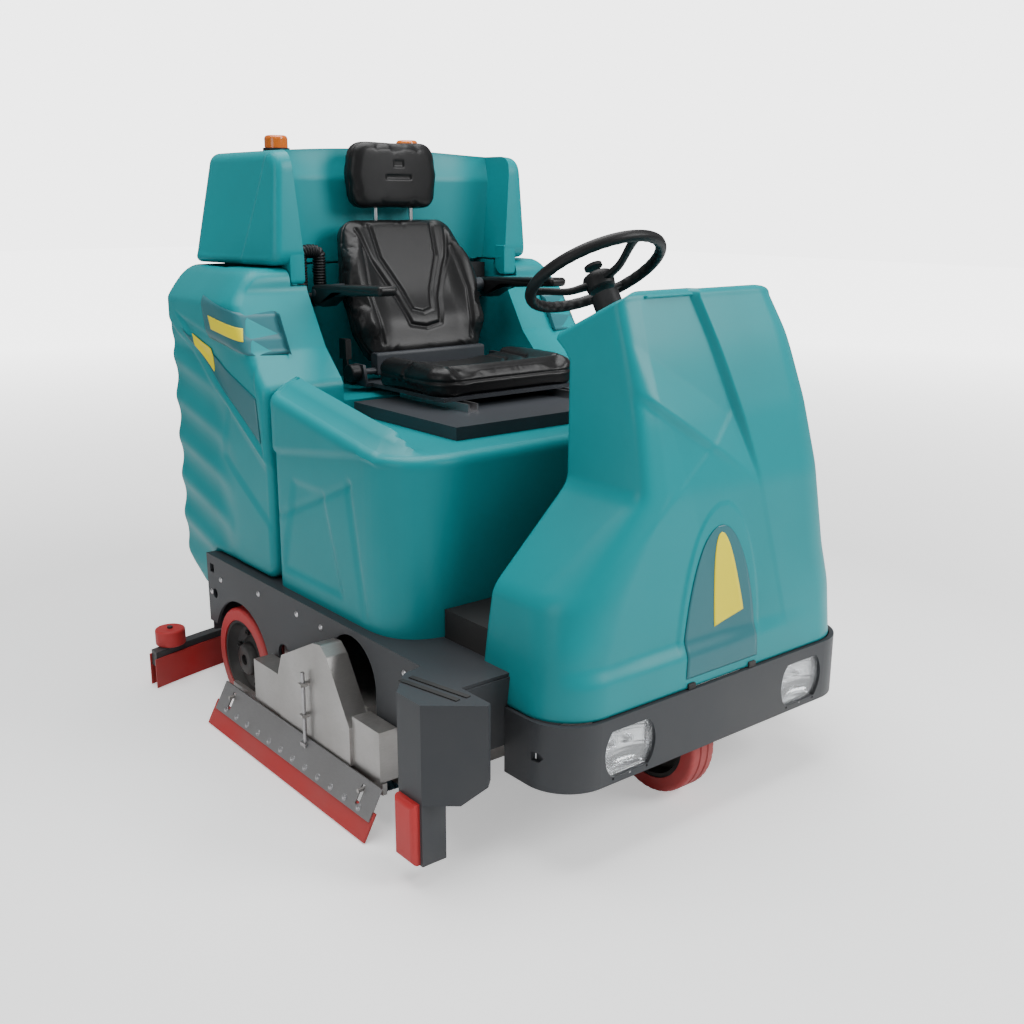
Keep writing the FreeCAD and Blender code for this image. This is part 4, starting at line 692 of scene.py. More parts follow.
frame_steel = material("frame_steel", (0.038, 0.042, 0.048, 1), (0.030, 0.034, 0.040, 1), smooth=0.36,
                       rough=0.5, grain=700.0, shade=0.05, depth=0.0003, bump=0.4, dust=0.16)
black_rubber = material("black_rubber", (0.012, 0.012, 0.013, 1), (0.020, 0.020, 0.021, 1), smooth=0.5,
                        rough=0.7, grain=500.0, depth=0.0003, dust=0.25)
red_rubber = material("red_rubber", (0.50, 0.028, 0.030, 1), (0.42, 0.022, 0.024, 1), smooth=0.4,
                      rough=0.55, grain=300.0, shade=0.06, depth=0.0002, dust=0.18)
bright_steel = material("bright_steel", (0.55, 0.55, 0.56, 1), (0.48, 0.48, 0.50, 1), smooth=0.22,
                        rough=0.38, grain=600.0, depth=0.0001, metal=1.0, dust=0.1)
motor_black = material("motor_black", (0.02, 0.02, 0.022, 1), smooth=0.4, rough=0.55, grain=500.0)
red_tyre = material("red_tyre", (0.46, 0.022, 0.026, 1), (0.36, 0.016, 0.020, 1), smooth=0.38,
                    rough=0.6, grain=180.0, shade=0.08, depth=0.0004, dust=0.35)
hub_black = material("hub_black", (0.010, 0.010, 0.011, 1), (0.016, 0.016, 0.017, 1), smooth=0.32,
                     rough=0.5, grain=500.0, dust=0.2)
black_plastic = material("black_plastic", (0.010, 0.010, 0.011, 1), (0.014, 0.014, 0.015, 1),
                         smooth=0.34, rough=0.5, grain=1400.0, depth=0.0003, bump=0.5, dust=0.1)
seat_vinyl = material("seat_vinyl", (0.006, 0.006, 0.0065, 1), (0.009, 0.009, 0.0095, 1), smooth=0.28,
                      rough=0.40, grain=620.0, shade=0.04, depth=0.0005, bump=0.45, dust=0.0)
amber_lens = material("amber_lens", (0.90, 0.20, 0.01, 1), (0.80, 0.14, 0.01, 1), smooth=0.12,
                      rough=0.2, grain=300.0, depth=0.0001, coat=0.6, dust=0.0)
amber_lens.node_tree.nodes["Principled BSDF"].inputs["Transmission Weight"].default_value = 0.3
satin_aluminium = material("satin_aluminium", (0.44, 0.43, 0.42, 1), (0.34, 0.33, 0.32, 1),
                           smooth=0.30, rough=0.46, grain=90.0, shade=0.16, depth=0.0001, metal=0.85,
                           dust=0.3, stretch=(1, 14), patch_scale=5.0)
bristle = material("bristle", (0.030, 0.10, 0.14, 1), (0.022, 0.07, 0.10, 1), smooth=0.6, rough=0.8,
                   grain=800.0, dust=0.3)
stainless = material("stainless", (0.42, 0.42, 0.43, 1), (0.34, 0.34, 0.35, 1), smooth=0.26,
                     rough=0.4, grain=80.0, shade=0.15, depth=0.0001, metal=0.9, dust=0.25,
                     stretch=(1, 12))
lamp_reflector = material("lamp_reflector", (0.80, 0.80, 0.81, 1), smooth=0.08, rough=0.18,
                          grain=90.0, depth=0.0002, metal=1.0, dust=0.0)
lamp_lens = material("lamp_lens", (0.92, 0.94, 0.95, 1), smooth=0.04, rough=0.1, grain=60.0,
                     shade=0.0, depth=0.0002, dust=0.0)
lamp_lens.node_tree.nodes["Principled BSDF"].inputs["Transmission Weight"].default_value = 0.85

FINISHES = {"frame_steel": frame_steel, "black_rubber": black_rubber, "red_rubber": red_rubber,
            "bright_steel": bright_steel, "motor_black": motor_black, "red_tyre": red_tyre,
            "hub_black": hub_black, "black_plastic": black_plastic, "seat_vinyl": seat_vinyl,
            "amber_lens": amber_lens, "satin_aluminium": satin_aluminium, "bristle": bristle,
            "stainless": stainless, "lamp_reflector": lamp_reflector, "lamp_lens": lamp_lens,
            "teal_plastic": teal_plastic}
for part in frame["record"]["subparts"]:
    shown = frame["nodes"][part["node"]].data
    shown.materials.clear()
    shown.materials.append(FINISHES[part["material_slot"]])


# ------------------------------------------------------------------ seat
# The seat is moulded foam under black grained vinyl: a base cushion with a rolled front lip and
# side bolsters, a backrest with pressed channels, and a headrest on two posts.

VOXEL = 0.005
AIR_PRESSURE = 4.0
SWELL_FRAMES = 20
SWELL_CAP = 0.007
HEAD_SWELL_CAP = 0.004


def puffed(name, mesh, cap):
    """Swells a pad with air inside a cloth skin; no point moves further than the cap."""
    work = bpy.data.objects.new(name, mesh)
    bpy.context.scene.collection.objects.link(work)
    remesh = work.modifiers.new("even", "REMESH")
    remesh.mode = "VOXEL"
    remesh.voxel_size = VOXEL
    depsgraph = bpy.context.evaluated_depsgraph_get()
    even = bpy.data.meshes.new_from_object(work.evaluated_get(depsgraph))
    work.modifiers.clear()
    work.data = even
    count = len(even.vertices)
    start = np.empty(count * 3, np.float32)
    even.vertices.foreach_get("co", start)
    start = start.reshape(-1, 3)
    cloth = work.modifiers.new("skin", "CLOTH")
    cloth.settings.use_pressure = True
    cloth.settings.uniform_pressure_force = AIR_PRESSURE
    cloth.settings.effector_weights.gravity = 0.0
    cloth.point_cache.frame_start = 1
    cloth.point_cache.frame_end = SWELL_FRAMES
    for frame_number in range(1, SWELL_FRAMES + 1):
        bpy.context.scene.frame_set(frame_number)
    shown = work.evaluated_get(bpy.context.evaluated_depsgraph_get()).to_mesh()
    end = np.empty(count * 3, np.float32)
    shown.vertices.foreach_get("co", end)
    shift = end.reshape(-1, 3) - start
    length = np.linalg.norm(shift, axis=1, keepdims=True)
    start = start + shift * np.minimum(1, cap / np.maximum(length, 1e-9))
    work.modifiers.clear()
    bpy.context.scene.frame_set(1)
    even.vertices.foreach_set("co", start.reshape(-1))
    fine = work.modifiers.new("fine", "SUBSURF")
    fine.levels = fine.render_levels = 1
    result = bpy.data.meshes.new_from_object(
        work.evaluated_get(bpy.context.evaluated_depsgraph_get()))
    bpy.data.objects.remove(work)
    result.name = name
    return result


def pressed(mesh, depth_of, place):
    """Sinks a mesh along its normals by depth_of(points in the pad's own frame) and places it."""
    count = len(mesh.vertices)
    points = np.empty(count * 3, np.float32)
    normals = np.empty(count * 3, np.float32)
    mesh.vertices.foreach_get("co", points)
    mesh.vertex_normals.foreach_get("vector", normals)
    points = points.reshape(-1, 3)
    points = points - normals.reshape(-1, 3) * depth_of(points)[:, None]
    mesh.vertices.foreach_set("co", place(points).astype(np.float32).reshape(-1))
    mesh.update()
    mesh.shade_smooth()
    return mesh


def seam(a, b, stops, width):
    """How near points lie to a seam drawn through stops, on both sides of the middle: 1 on it."""
    share = np.zeros(a.shape)
    for start, end in zip(stops[:-1], stops[1:]):
        share = np.maximum(share, near_line(np.abs(a), b, start, end, width))
    return share


def cushion_top(x, station):
    """The seat's face: a dished middle between side bolsters, and a rolled lip in front."""
    across_share = np.abs(x) / 0.228
    bolster = 0.017 * ramp(across_share, 0.62, 0.92)
    lip = 0.014 * np.exp(-((station - 0.790) / 0.035) ** 2)
    dish = -0.010 * ramp(across_share, 0.75, 0.2) * ramp(station, 0.80, 0.90)
    return 0.0 * x + 0.946 + np.maximum(bolster, lip) + dish


cushion_plan = rounded_outline([(-0.212, 0.749, 0.050), (0.212, 0.749, 0.050), (0.237, 0.800, 0.040),
                                (0.237, 1.054, 0.050), (-0.237, 1.054, 0.050),
                                (-0.237, 0.800, 0.040)], 260)
cushion_points = standing(cushion_plan, 0.897, cushion_top, 0.024, 12, 30)
cushion = puffed("seat_cushion_pad", surface("seat_cushion_pad", cushion_points, ring=True), SWELL_CAP)


def cushion_depth(points):
    """Sewn channels of the seat: a horseshoe seam, two ribs across it and a welt round the side."""
    x, station, height = points.T
    up = ramp(height, 0.925, 0.940)
    shoe = seam(x, station, [(0.0, 0.835), (0.110, 0.845), (0.160, 0.900), (0.168, 1.040)], 0.0055)
    inner = seam(x, station, [(0.0, 0.880), (0.080, 0.890), (0.118, 0.935), (0.122, 1.040)], 0.005)
    lip = seam(x, station, [(0.0, 0.800), (0.190, 0.806)], 0.006)
    welt = np.exp(-((height - 0.922) / 0.0035) ** 2) * ramp(np.abs(x) + 0 * x, 0, 0.01)
    side = np.exp(-((height - 0.931) / 0.0030) ** 2)
    return up * (0.006 * shoe + 0.0045 * inner + 0.005 * lip) + (1 - up) * 0.004 * side - 0.0012 * welt


cushion = pressed(cushion, cushion_depth,
                  lambda points: np.column_stack([points[:, 0], at(points[:, 1]), points[:, 2]]))
piece("seat_cushion_pad", cushion, seat_vinyl, "seat", ["seat_cushion"])

BACK_FOOT = (1.086, 0.944)
BACK_LEAN = math.radians(22.6)
BACK_T = 0.090


def leaned(points):
    """Places pad points (x, height up the back, depth towards the driver) on the leaned backrest."""
    x, up, depth = points.T
    behind = BACK_T - depth
    station = BACK_FOOT[0] + up * math.sin(BACK_LEAN) + behind * math.cos(BACK_LEAN)
    height = BACK_FOOT[1] + up * math.cos(BACK_LEAN) - behind * math.sin(BACK_LEAN)
    return np.column_stack([x, at(station), height])


def back_face(x, up):
    """The backrest's face: two tall bolsters, a lumbar roll low down and a hollow middle."""
    side = np.abs(x) / 0.215
    bolster = 0.024 * ramp(side, 0.50, 0.86) * ramp(up, 0.03, 0.12) * ramp(up, 0.43, 0.28)
    lumbar = 0.010 * np.exp(-((up - 0.12) / 0.05) ** 2)
    return 0.058 + bolster + lumbar * (1 - ramp(side, 0.5, 0.8)) + 0.0 * x


back_outline = rounded_outline([(-0.188, 0.016, 0.045), (0.188, 0.016, 0.045), (0.216, 0.100, 0.040),
                                (0.223, 0.240, 0.060), (0.180, 0.430, 0.060),
                                (-0.180, 0.430, 0.060), (-0.223, 0.240, 0.060),
                                (-0.216, 0.100, 0.040)], 300)
back_points = standing(back_outline, 0.006, back_face, 0.024, 14, 34)
backrest = puffed("backrest_pad", surface("backrest_pad", back_points, ring=True), SWELL_CAP)


def back_depth(points):
    """Pressed channels of the backrest: a double V that opens upwards and a seam on each bolster."""
    x, up, depth = points.T
    front = ramp(depth, 0.048, 0.058)
    outer = seam(x, up, [(0.0, 0.095), (0.050, 0.105), (0.072, 0.185), (0.128, 0.300), (0.150, 0.385)],
                 0.006)
    inner = seam(x, up, [(0.0, 0.138), (0.032, 0.148), (0.048, 0.205), (0.096, 0.305), (0.104, 0.400)],
                 0.005)
    bolster = seam(x, up, [(0.150, 0.060), (0.165, 0.200), (0.150, 0.330)], 0.005)
    welt = np.exp(-((depth - 0.042) / 0.003) ** 2)
    return front * (0.0065 * outer + 0.005 * inner + 0.004 * bolster) + 0.0035 * (1 - front) * welt


backrest = pressed(backrest, back_depth, leaned)
piece("backrest_pad", backrest, seat_vinyl, "back")


def turned_rod(name, profile, start, direction, steps=40):
    """A round part turned on an axis: profile is (distance along the axis, radius)."""
    axis = Vector(direction).normalized()
    frame_of_axis = axis.to_track_quat("Z", "Y").to_matrix()
    profile = np.array(profile, float)
    angle = np.linspace(0, 2 * math.pi, steps, endpoint=False)
    ring = np.stack([profile[:, 1:2] * np.cos(angle), profile[:, 1:2] * np.sin(angle),
                     profile[:, 0:1] + 0 * angle], axis=-1)
    points = ring @ np.array(frame_of_axis.transposed()) + np.array(start, float)
    return surface(name, points, ring=True, angle=32)


def rod_profile(length, radius, edge=0.001):
    """A solid rod with broken edges."""
    return [(0, 0), (0, radius - edge), (edge, radius), (length - edge, radius),
            (length, radius - edge), (length, 0)]


ARM_PIVOT = (1.222, 1.128)
BACK_SIDE = 0.212
back_metal = []
for side in (-1, 1):
    place = (side * BACK_SIDE, at(ARM_PIVOT[0]), ARM_PIVOT[1])
    back_metal.append(turned_rod("boss", rod_profile(0.100, 0.0098), place, (side, 0, 0)))
    back_metal.append(turned_rod("flange", rod_profile(0.040, 0.021), place, (side, 0, 0)))
tie_outline = rounded_outline([(1.113, 0.905, 0.006), (1.147, 0.905, 0.006), (1.147, 0.966, 0.006),
                               (1.113, 0.966, 0.006)], 40)
back_metal.append(bar("tie", tie_outline, -0.184, 0.184))
back_metal.append(turned_rod("pivot", rod_profile(0.472, 0.0088), (-0.236, at(1.126), 0.918), (1, 0, 0)))
spine_outline = rounded_outline([(1.130, 0.950, 0.008), (1.170, 0.940, 0.008), (1.190, 1.000, 0.008),
                                 (1.150, 1.020, 0.008)], 40)
back_metal.append(bar("spine", spine_outline, -0.168, 0.168))
piece("backrest_frame", together("backrest_frame", back_metal), frame_steel, "back",
      ["seat_backrest"])

POST_X = 0.060
HEAD_BACK = 1.336


def head_face(x, height):
    """The headrest's face: crowned, with its thickest part in the middle."""
    return 0.052 + 0.012 * np.cos(np.clip(x / 0.150, -1, 1) * 1.45) + 0.0 * height


head_outline = rounded_outline([(-0.136, 1.345, 0.045), (0.136, 1.345, 0.045), (0.149, 1.440, 0.060),
                                (0.134, 1.528, 0.055), (-0.134, 1.528, 0.055),
                                (-0.149, 1.440, 0.060)], 220)
head_points = standing(head_outline, 0.006, head_face, 0.020, 10, 26)
headrest = puffed("headrest_pad", surface("headrest_pad", head_points, ring=True), HEAD_SWELL_CAP)


def head_depth(points):
    """Two plain pressed marks in the headrest's face and a welt round its side."""
    x, height, depth = points.T
    front = ramp(depth, 0.044, 0.054)
    mark = ramp(0.016 - np.abs(x - 0.002), -0.002, 0.002) * ramp(0.009 - np.abs(height - 1.468), -0.002,
                                                                 0.002)
    slot = ramp(0.042 - np.abs(x - 0.002), -0.003, 0.003) * ramp(0.006 - np.abs(height - 1.432), -0.002,
                                                                 0.002)
    welt = np.exp(-((depth - 0.036) / 0.003) ** 2)
    return front * (0.0035 * mark + 0.0045 * slot) + 0.003 * (1 - front) * welt


def upright(points):
    """Places headrest points (x, height, depth towards the driver)."""
    return np.column_stack([points[:, 0], at(HEAD_BACK - points[:, 2]), points[:, 1]])


headrest = pressed(headrest, head_depth, upright)
piece("headrest_pad", headrest, seat_vinyl, "head", ["headrest"])
posts = [turned_rod("post", rod_profile(0.110, 0.0058), (side * POST_X, at(1.299), 1.273), (0, 0, 1))
         for side in (-1, 1)]
piece("headrest_posts", together("headrest_posts", posts), bright_steel, "head")

arm_plan = rounded_outline([(0.897, 1.138, 0.012), (1.130, 1.124, 0.030), (1.192, 1.092, 0.014),
                            (1.224, 1.092, 0.014), (1.244, 1.112, 0.012), (1.240, 1.148, 0.012),
                            (0.897, 1.163, 0.012)], 150)
ARM_INNER = 0.254
ARM_OUTER = 0.310
ARM_EDGE = 0.010


def arm_mesh(side):
    """An armrest: a side outline carried across with full rounded edges and a padded top."""
    inward = inward_of(arm_plan)
    centre = arm_plan.mean(0)
    rows = []
    for share in np.linspace(0, 1, 6)[:-1]:
        flat = centre + (arm_plan + inward * ARM_EDGE - centre) * share
        rows.append(np.column_stack([np.full(len(flat), ARM_INNER), flat]))
    for angle in QUARTER_TURN:
        flat = arm_plan + inward * ARM_EDGE * (1 - math.sin(angle))
        side_x = ARM_INNER + ARM_EDGE * (1 - math.cos(angle))
        rows.append(np.column_stack([np.full(len(flat), side_x), flat]))
    near = np.array(rows)
    far = near[::-1].copy()
    far[:, :, 0] = ARM_INNER + ARM_OUTER - far[:, :, 0]
    points = np.concatenate([near, far])
    groove = np.exp(-((points[:, :, 2] - 1.146) / 0.002) ** 2) * 0.0015
    points[:, :, 0] += np.where(points[:, :, 0] < 0.282, groove, -groove)
    points[:, :, 1] = at(points[:, :, 1])
    points[:, :, 0] *= side
    return surface("armrest", points, ring=True, angle=60)


for side, word in ((1, "left"), (-1, "right")):
    piece("armrest_" + word + "_pad", arm_mesh(side), seat_vinyl, "arm_" + word,
          ["armrest_" + word])


# ------------------------------------------------------------------ steering wheel
# The wheel is black polyurethane foam over a steel ring: a rim with finger waves on its inner
# side, three flattened spokes that dip to the hub, and a domed hub round the horn button.

WHEEL_CENTRE = Vector((0, at(0.448), 1.208))
WHEEL_TILT = Matrix.Rotation(math.radians(-33), 4, "X")
WHEEL_RING = 0.162
GRIP = 0.0136
wheel_place = Matrix.Translation(WHEEL_CENTRE) @ WHEEL_TILT


def wheel_rim():
    """A ring of round section whose inner half swells and thins as fingers grip it."""
    round_wheel = np.linspace(0, 2 * math.pi, 360, endpoint=False)[:, None]
    section = np.linspace(0, 2 * math.pi, 28, endpoint=False)[None, :]
    wave = 0.0018 * (0.5 - 0.5 * np.cos(round_wheel * 36)) * np.clip(-np.cos(section), 0, 1)
    seam_line = 0.0006 * np.exp(-((np.sin(section / 2) ** 2) / 0.002))
    radius = GRIP - wave - seam_line
    reach = WHEEL_RING + radius * np.cos(section)
    points = np.stack([reach * np.cos(round_wheel), reach * np.sin(round_wheel),
                       radius * np.sin(section) + 0 * round_wheel], axis=-1)
    return surface("rim", np.concatenate([points, points[:1]]), ring=True, angle=60)


def wheel_spoke(angle):
    """A flat spoke, wide at the hub and narrow at the rim, that dips in the middle of its run."""
    run = np.linspace(0, 1, 24)[:, None]
    section = np.linspace(0, 2 * math.pi, 24, endpoint=False)[None, :]
    reach = 0.020 + (WHEEL_RING - 0.020) * run
    width = 0.016 - 0.006 * np.sin(run * math.pi) + 0.003 * ramp(run, 0.85, 1.0)
    depth = 0.0065 + 0.002 * (1 - run)
    drop = -0.026 * ramp(run, 1.0, 0.30)
    side = width * np.sign(np.cos(section)) * np.abs(np.cos(section)) ** 0.7
    lift = drop + depth * np.sign(np.sin(section)) * np.abs(np.sin(section)) ** 0.8
    points = np.stack([reach * math.cos(angle) - side * math.sin(angle),
                       reach * math.sin(angle) + side * math.cos(angle), lift], axis=-1)
    closed = np.concatenate([points[:1] * 0 + points[:1].mean(1, keepdims=True), points,
                             points[-1:] * 0 + points[-1:].mean(1, keepdims=True)])
    return surface("spoke", closed, ring=True, angle=50)


hub_profile = [(-0.044, 0), (-0.044, 0.030), (-0.040, 0.034), (-0.022, 0.037), (-0.014, 0.0375),
               (-0.007, 0.034), (-0.004, 0.029), (-0.0045, 0.0235), (-0.012, 0.0228), (-0.012, 0)]
wheel_parts = [wheel_rim()] + [wheel_spoke(math.radians(turn)) for turn in (-90, 30, 150)]
wheel_parts.append(turned_rod("hub", hub_profile, (0, 0, 0), (0, 0, 1), 64))
wheel_mesh = moved(together("steering_wheel_rim", wheel_parts), wheel_place)
wheel_mesh.name = "steering_wheel_rim"
wheel_foam = material("wheel_foam", (0.008, 0.008, 0.0085, 1), (0.012, 0.012, 0.013, 1), smooth=0.36,
                      rough=0.52, grain=900.0, depth=0.0003, bump=0.5, dust=0.0)
piece("steering_wheel_rim", wheel_mesh, wheel_foam, "steering", ["steering_wheel"])


# ------------------------------------------------------------------ tyres and rims
# Solid polyurethane tyres are cast in red on black dished steel discs, which bolt to the hubs.
# Each tread has two narrow grooves and rounded shoulders, with fine moulded marks round its sides.

REAR_AXLE = (1.198, 0.147)
FRONT_AXLE = (0.185, 0.140)
TYRE_ROOM = 0.0004
NUTS = 6
NUT_CIRCLE = 0.072


def lathe_x(name, profile, station, height, centre_x, steps=96, side=1, wave=None):
    """A wheel-like part turned on a cross axis: profile is (offset outwards, radius)."""
    profile = np.array(profile, float)
    angle = np.linspace(0, 2 * math.pi, steps, endpoint=False)[None, :]
    radius = profile[:, 1:2] + (wave(profile[:, 0:1], profile[:, 1:2], angle) if wave else 0)
    points = np.stack([centre_x + side * profile[:, 0:1] + 0 * angle,
                       at(station) + radius * np.cos(angle), height + radius * np.sin(angle)], axis=-1)
    return surface(name, points, ring=True, angle=38)


def rounded_section(half, inner, outer, turn):
    """A tyre's closed section: a tread with rounded shoulders, sides and the bore."""
    arc = np.linspace(0, math.pi / 2, 6)
    right = np.column_stack([half - turn + turn * np.sin(arc), outer - turn + turn * np.cos(arc)])
    left = right[::-1] * (-1, 1)
    bore = [(half, inner), (-half, inner)]
    crown = [(-0.016, outer), (-0.014, outer - 0.0028), (-0.010, outer - 0.0028), (-0.008, outer),
             (0.008, outer), (0.010, outer - 0.0028), (0.014, outer - 0.0028), (0.016, outer)]
    return np.array([bore[1]] + left.tolist() + crown + right.tolist() + [bore[0], bore[1]])


def shoulder_marks(offset, radius, angle):
    """Fine moulded marks round a tyre's shoulders."""
    return -0.0012 * ramp(np.cos(angle * 40), 0.80, 0.95) * (radius > 0.135) * (np.abs(offset) > 0.024)


for word, side in (("left", 1), ("right", -1)):
    low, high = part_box("rear_tyre_" + word)
    middle = (low.x + high.x) / 2
    half = (high.x - low.x) / 2 - TYRE_ROOM
    tyre = lathe_x("tyre", rounded_section(half, 0.1123, 0.1467, 0.010), *REAR_AXLE, middle, 160, side,
                   shoulder_marks)
    piece("rear_tyre_" + word + "_tread", tyre, red_tyre, "rear_wheel_" + word,
          ["rear_tyre_" + word])
    low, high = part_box("rear_rim_" + word)
    middle = (low.x + high.x) / 2
    half = (high.x - low.x) / 2
    dish = [(-half, 0.060), (-half, 0.1115), (half, 0.1115), (half - 0.001, 0.104),
            (half - 0.010, 0.100), (half - 0.024, 0.088), (half - 0.028, 0.062),
            (half - 0.020, 0.048), (half - 0.006, 0.044),
            (half - 0.002, 0.040), (half, 0.034), (half, 0.0155), (-half, 0.0155), (-half, 0.060)]
    disc = [lathe_x("disc", dish, *REAR_AXLE, middle, 96, side)]
    for turn in range(NUTS):
        around = math.radians(360 / NUTS * turn + 15)
        place = (middle + side * (half - 0.0285), at(REAR_AXLE[0]) + NUT_CIRCLE * math.cos(around),
                 REAR_AXLE[1] + NUT_CIRCLE * math.sin(around))
        disc.append(turned_rod("nut", rod_profile(0.010, 0.0085), place, (side, 0, 0), 6))
        disc.append(turned_rod("stud", rod_profile(0.014, 0.004), place, (side, 0, 0), 12))
    piece("rear_rim_" + word + "_disc", together("rim", disc), hub_black, "rear_wheel_" + word,
          ["rear_rim_" + word])

low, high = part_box("front_tyre")
front_section = rounded_section((high.x - low.x) / 2 - TYRE_ROOM, 0.1043, 0.1397, 0.010)
front_tyre = lathe_x("front_tyre_tread", front_section, *FRONT_AXLE, (low.x + high.x) / 2, 160, 1,
                     shoulder_marks)
piece("front_tyre_tread", front_tyre, red_tyre, "front_wheel", ["front_tyre"])


# ------------------------------------------------------------------ headlamps
# Each lamp is a clear polycarbonate cover with fluted inside over a bright shaped reflector, held
# flush in the bumper by three screws.

LAMP_X = 0.286
LAMP_Z = 0.256
REFLECTOR_DEPTH = 0.011
REFLECTOR_WALL = 0.001
LENS_DEPTH = 0.004
LENS_WALL = 0.002
OUTWARD = 1.0
lamp_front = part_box("headlight_lenses")[0].y


def lamp_sheet(side, depth, flute, half_w=0.066, half_h=0.047):
    """A lamp face over a barrel outline: u runs across with arced ends, v up; fluted by a wave."""
    u = np.linspace(-1, 1, 90)[None, :]
    v = np.linspace(-1, 1, 60)[:, None]
    x = u * half_w * (1 - 0.12 * v ** 2) + 0 * v
    z = v * half_h + 0 * u
    y = depth + flute(u, v)
    return np.stack([side * LAMP_X + x, lamp_front + y, LAMP_Z + z], axis=-1)


def lens_crown(u, v):
    """A cover that bulges a little, most in its middle."""
    return 0.003 * (u ** 2 + v ** 2) / 2


def reflector_wave(u, v):
    """A dished reflector cut into upright facets round two bulbs."""
    bowl = 0.030 * (1 - 0.62 * (u ** 2 + 0.8 * v ** 2))
    facets = 0.0016 * np.abs((u * 7) % 1 - 0.5) + 0.0010 * np.abs((v * 5) % 1 - 0.5)
    inner_bulb = np.exp(-((u - 0.38) ** 2 + v ** 2) / 0.02)
    outer_bulb = np.exp(-((u + 0.38) ** 2 + v ** 2) / 0.02)
    bulbs = 0.018 * (inner_bulb + outer_bulb)
    return np.clip(bowl, 0.004, 1) + facets - bulbs


reflectors = []
for side in (-1, 1):
    sheet_points = lamp_sheet(side, REFLECTOR_DEPTH, reflector_wave)
    reflectors.append(with_wall(surface("reflector", sheet_points), REFLECTOR_WALL, OUTWARD))
piece("headlight_reflectors", together("headlight_reflectors", reflectors), lamp_reflector, "chassis")
clear_lens = bpy.data.materials.new("clear_lens")
clear_lens.use_nodes = True
clear_tree = clear_lens.node_tree
clear_shader = clear_tree.nodes["Principled BSDF"]
for socket, value in (("Base Color", (0.95, 0.97, 0.98, 1)), ("Roughness", 0.05),
                      ("Transmission Weight", 0.95), ("IOR", 1.3)):
    clear_shader.inputs[socket].default_value = value
flutes = node(clear_tree, "ShaderNodeTexWave",
              {"Vector": node(clear_tree, "ShaderNodeTexCoord").outputs["Object"], "Scale": 60.0})
flute_bump = node(clear_tree, "ShaderNodeBump",
                  {"Height": flutes.outputs["Color"], "Strength": 0.25, "Distance": 0.001})
clear_tree.links.new(flute_bump.outputs["Normal"], clear_shader.inputs["Normal"])
lenses = []
for side in (-1, 1):
    sheet_points = lamp_sheet(side, LENS_DEPTH, lens_crown, 0.071, 0.0505)
    lenses.append(with_wall(surface("lens", sheet_points), LENS_WALL, OUTWARD))
piece("headlight_covers", together("headlight_covers", lenses), clear_lens, "chassis",
      ["headlight_lenses"])


# ------------------------------------------------------------------ plates and screws on the shells
# Printed film plates lie on the shells without any lettering: a pointed shield on the cowl and a
# slanting plate on each tank side. Screws and hood clips hold the bumper and cowl.

plate_teal = material("plate_teal", (0.030, 0.155, 0.180, 1), (0.026, 0.140, 0.165, 1), smooth=0.25,
                      rough=0.35, grain=400.0, shade=0.02, depth=0.00005, dust=0.05)
plate_yellow = material("plate_yellow", (0.86, 0.74, 0.008, 1), (0.80, 0.68, 0.008, 1), smooth=0.25,
                        rough=0.35, grain=400.0, shade=0.02, depth=0.00005, dust=0.05)
FILM_START = 0.05
FILM_T = 0.0008
PLATE_LIFT = 0.0014
MARK_LIFT = 0.0026


def film(name, target, grid, normal, lift=0.0012):
    """A thin film: a grid of points dropped along a direction onto a shell, then lifted off it."""
    flat = grid.reshape(-1, 3)
    work = bmesh.new()
    work.from_mesh(target)
    work.normal_update()
    tree = BVHTree.FromBMesh(work)
    hits = [tree.ray_cast(Vector(point) - Vector(normal) * 0.3, Vector(normal))[0] for point in flat]
    work.free()
    laid = np.array([point if hit is None else hit for point, hit in zip(flat, hits)])
    laid = (laid - np.array(normal) * lift).reshape(grid.shape)
    return with_wall(surface(name, laid, angle=60), FILM_T, 0.0)


def shield_grid(base, top, centre_top, centre_low, half_low):
    """A pointed shield on the front: half its width shrinks upwards to a point."""
    v = np.linspace(0, 1, 60)[:, None]
    u = np.linspace(-1, 1, 25)[None, :]
    half = half_low * np.sqrt(np.clip(1 - (v * 0.998) ** 2, 0, 1)) * (1 - 0.10 * v)
    x = centre_low + (centre_top - centre_low) * v + half * u
    z = base + (top - base) * v + 0 * u
    return np.stack([x, np.full(x.shape, at(FILM_START)), z], axis=-1)


shield = film("front_shield", cowl_whole, shield_grid(0.362, 0.690, -0.004, 0.004, 0.118), (0, 1, 0))
piece("front_shield", shield, plate_teal, "chassis")
v = np.linspace(0, 1, 60)[:, None]
u = np.linspace(-1, 1, 13)[None, :]
flame_end = (np.abs(v - 0.35) / 0.65).clip(0, 1) ** 4
flame_half = 0.046 * (1 - 0.55 * v) * np.sqrt(np.clip(1 - flame_end, 0, 1)) + 0.0005
flame_x = 0.030 - 0.034 * v + flame_half * u
flame_z = 0.470 + 0.205 * v + 0.012 * u * (1 - v)
flame_grid = np.stack([flame_x, np.full(flame_x.shape, at(FILM_START)), flame_z], -1)
flame = film("front_flame", cowl_whole, flame_grid, (0, 1, 0), 0.0022)
piece("front_flame", flame, plate_yellow, "chassis")


def side_plate(corners, side, lift):
    """A four-cornered film on a tank side; corners are (station, z), round from the low front."""
    v = np.linspace(0, 1, 14)[:, None, None]
    u = np.linspace(0, 1, 40)[None, :, None]
    a, b, c, d = (np.array(corner) for corner in corners)
    flat = (a * (1 - u) + b * u) * (1 - v) + (d * (1 - u) + c * u) * v
    x = np.full(flat.shape[:2], side * 0.45)
    grid = np.stack([x, at(flat[..., 0]), flat[..., 1]], axis=-1)
    return film("plate", recovery_shell, grid, (-side, 0, 0), lift)


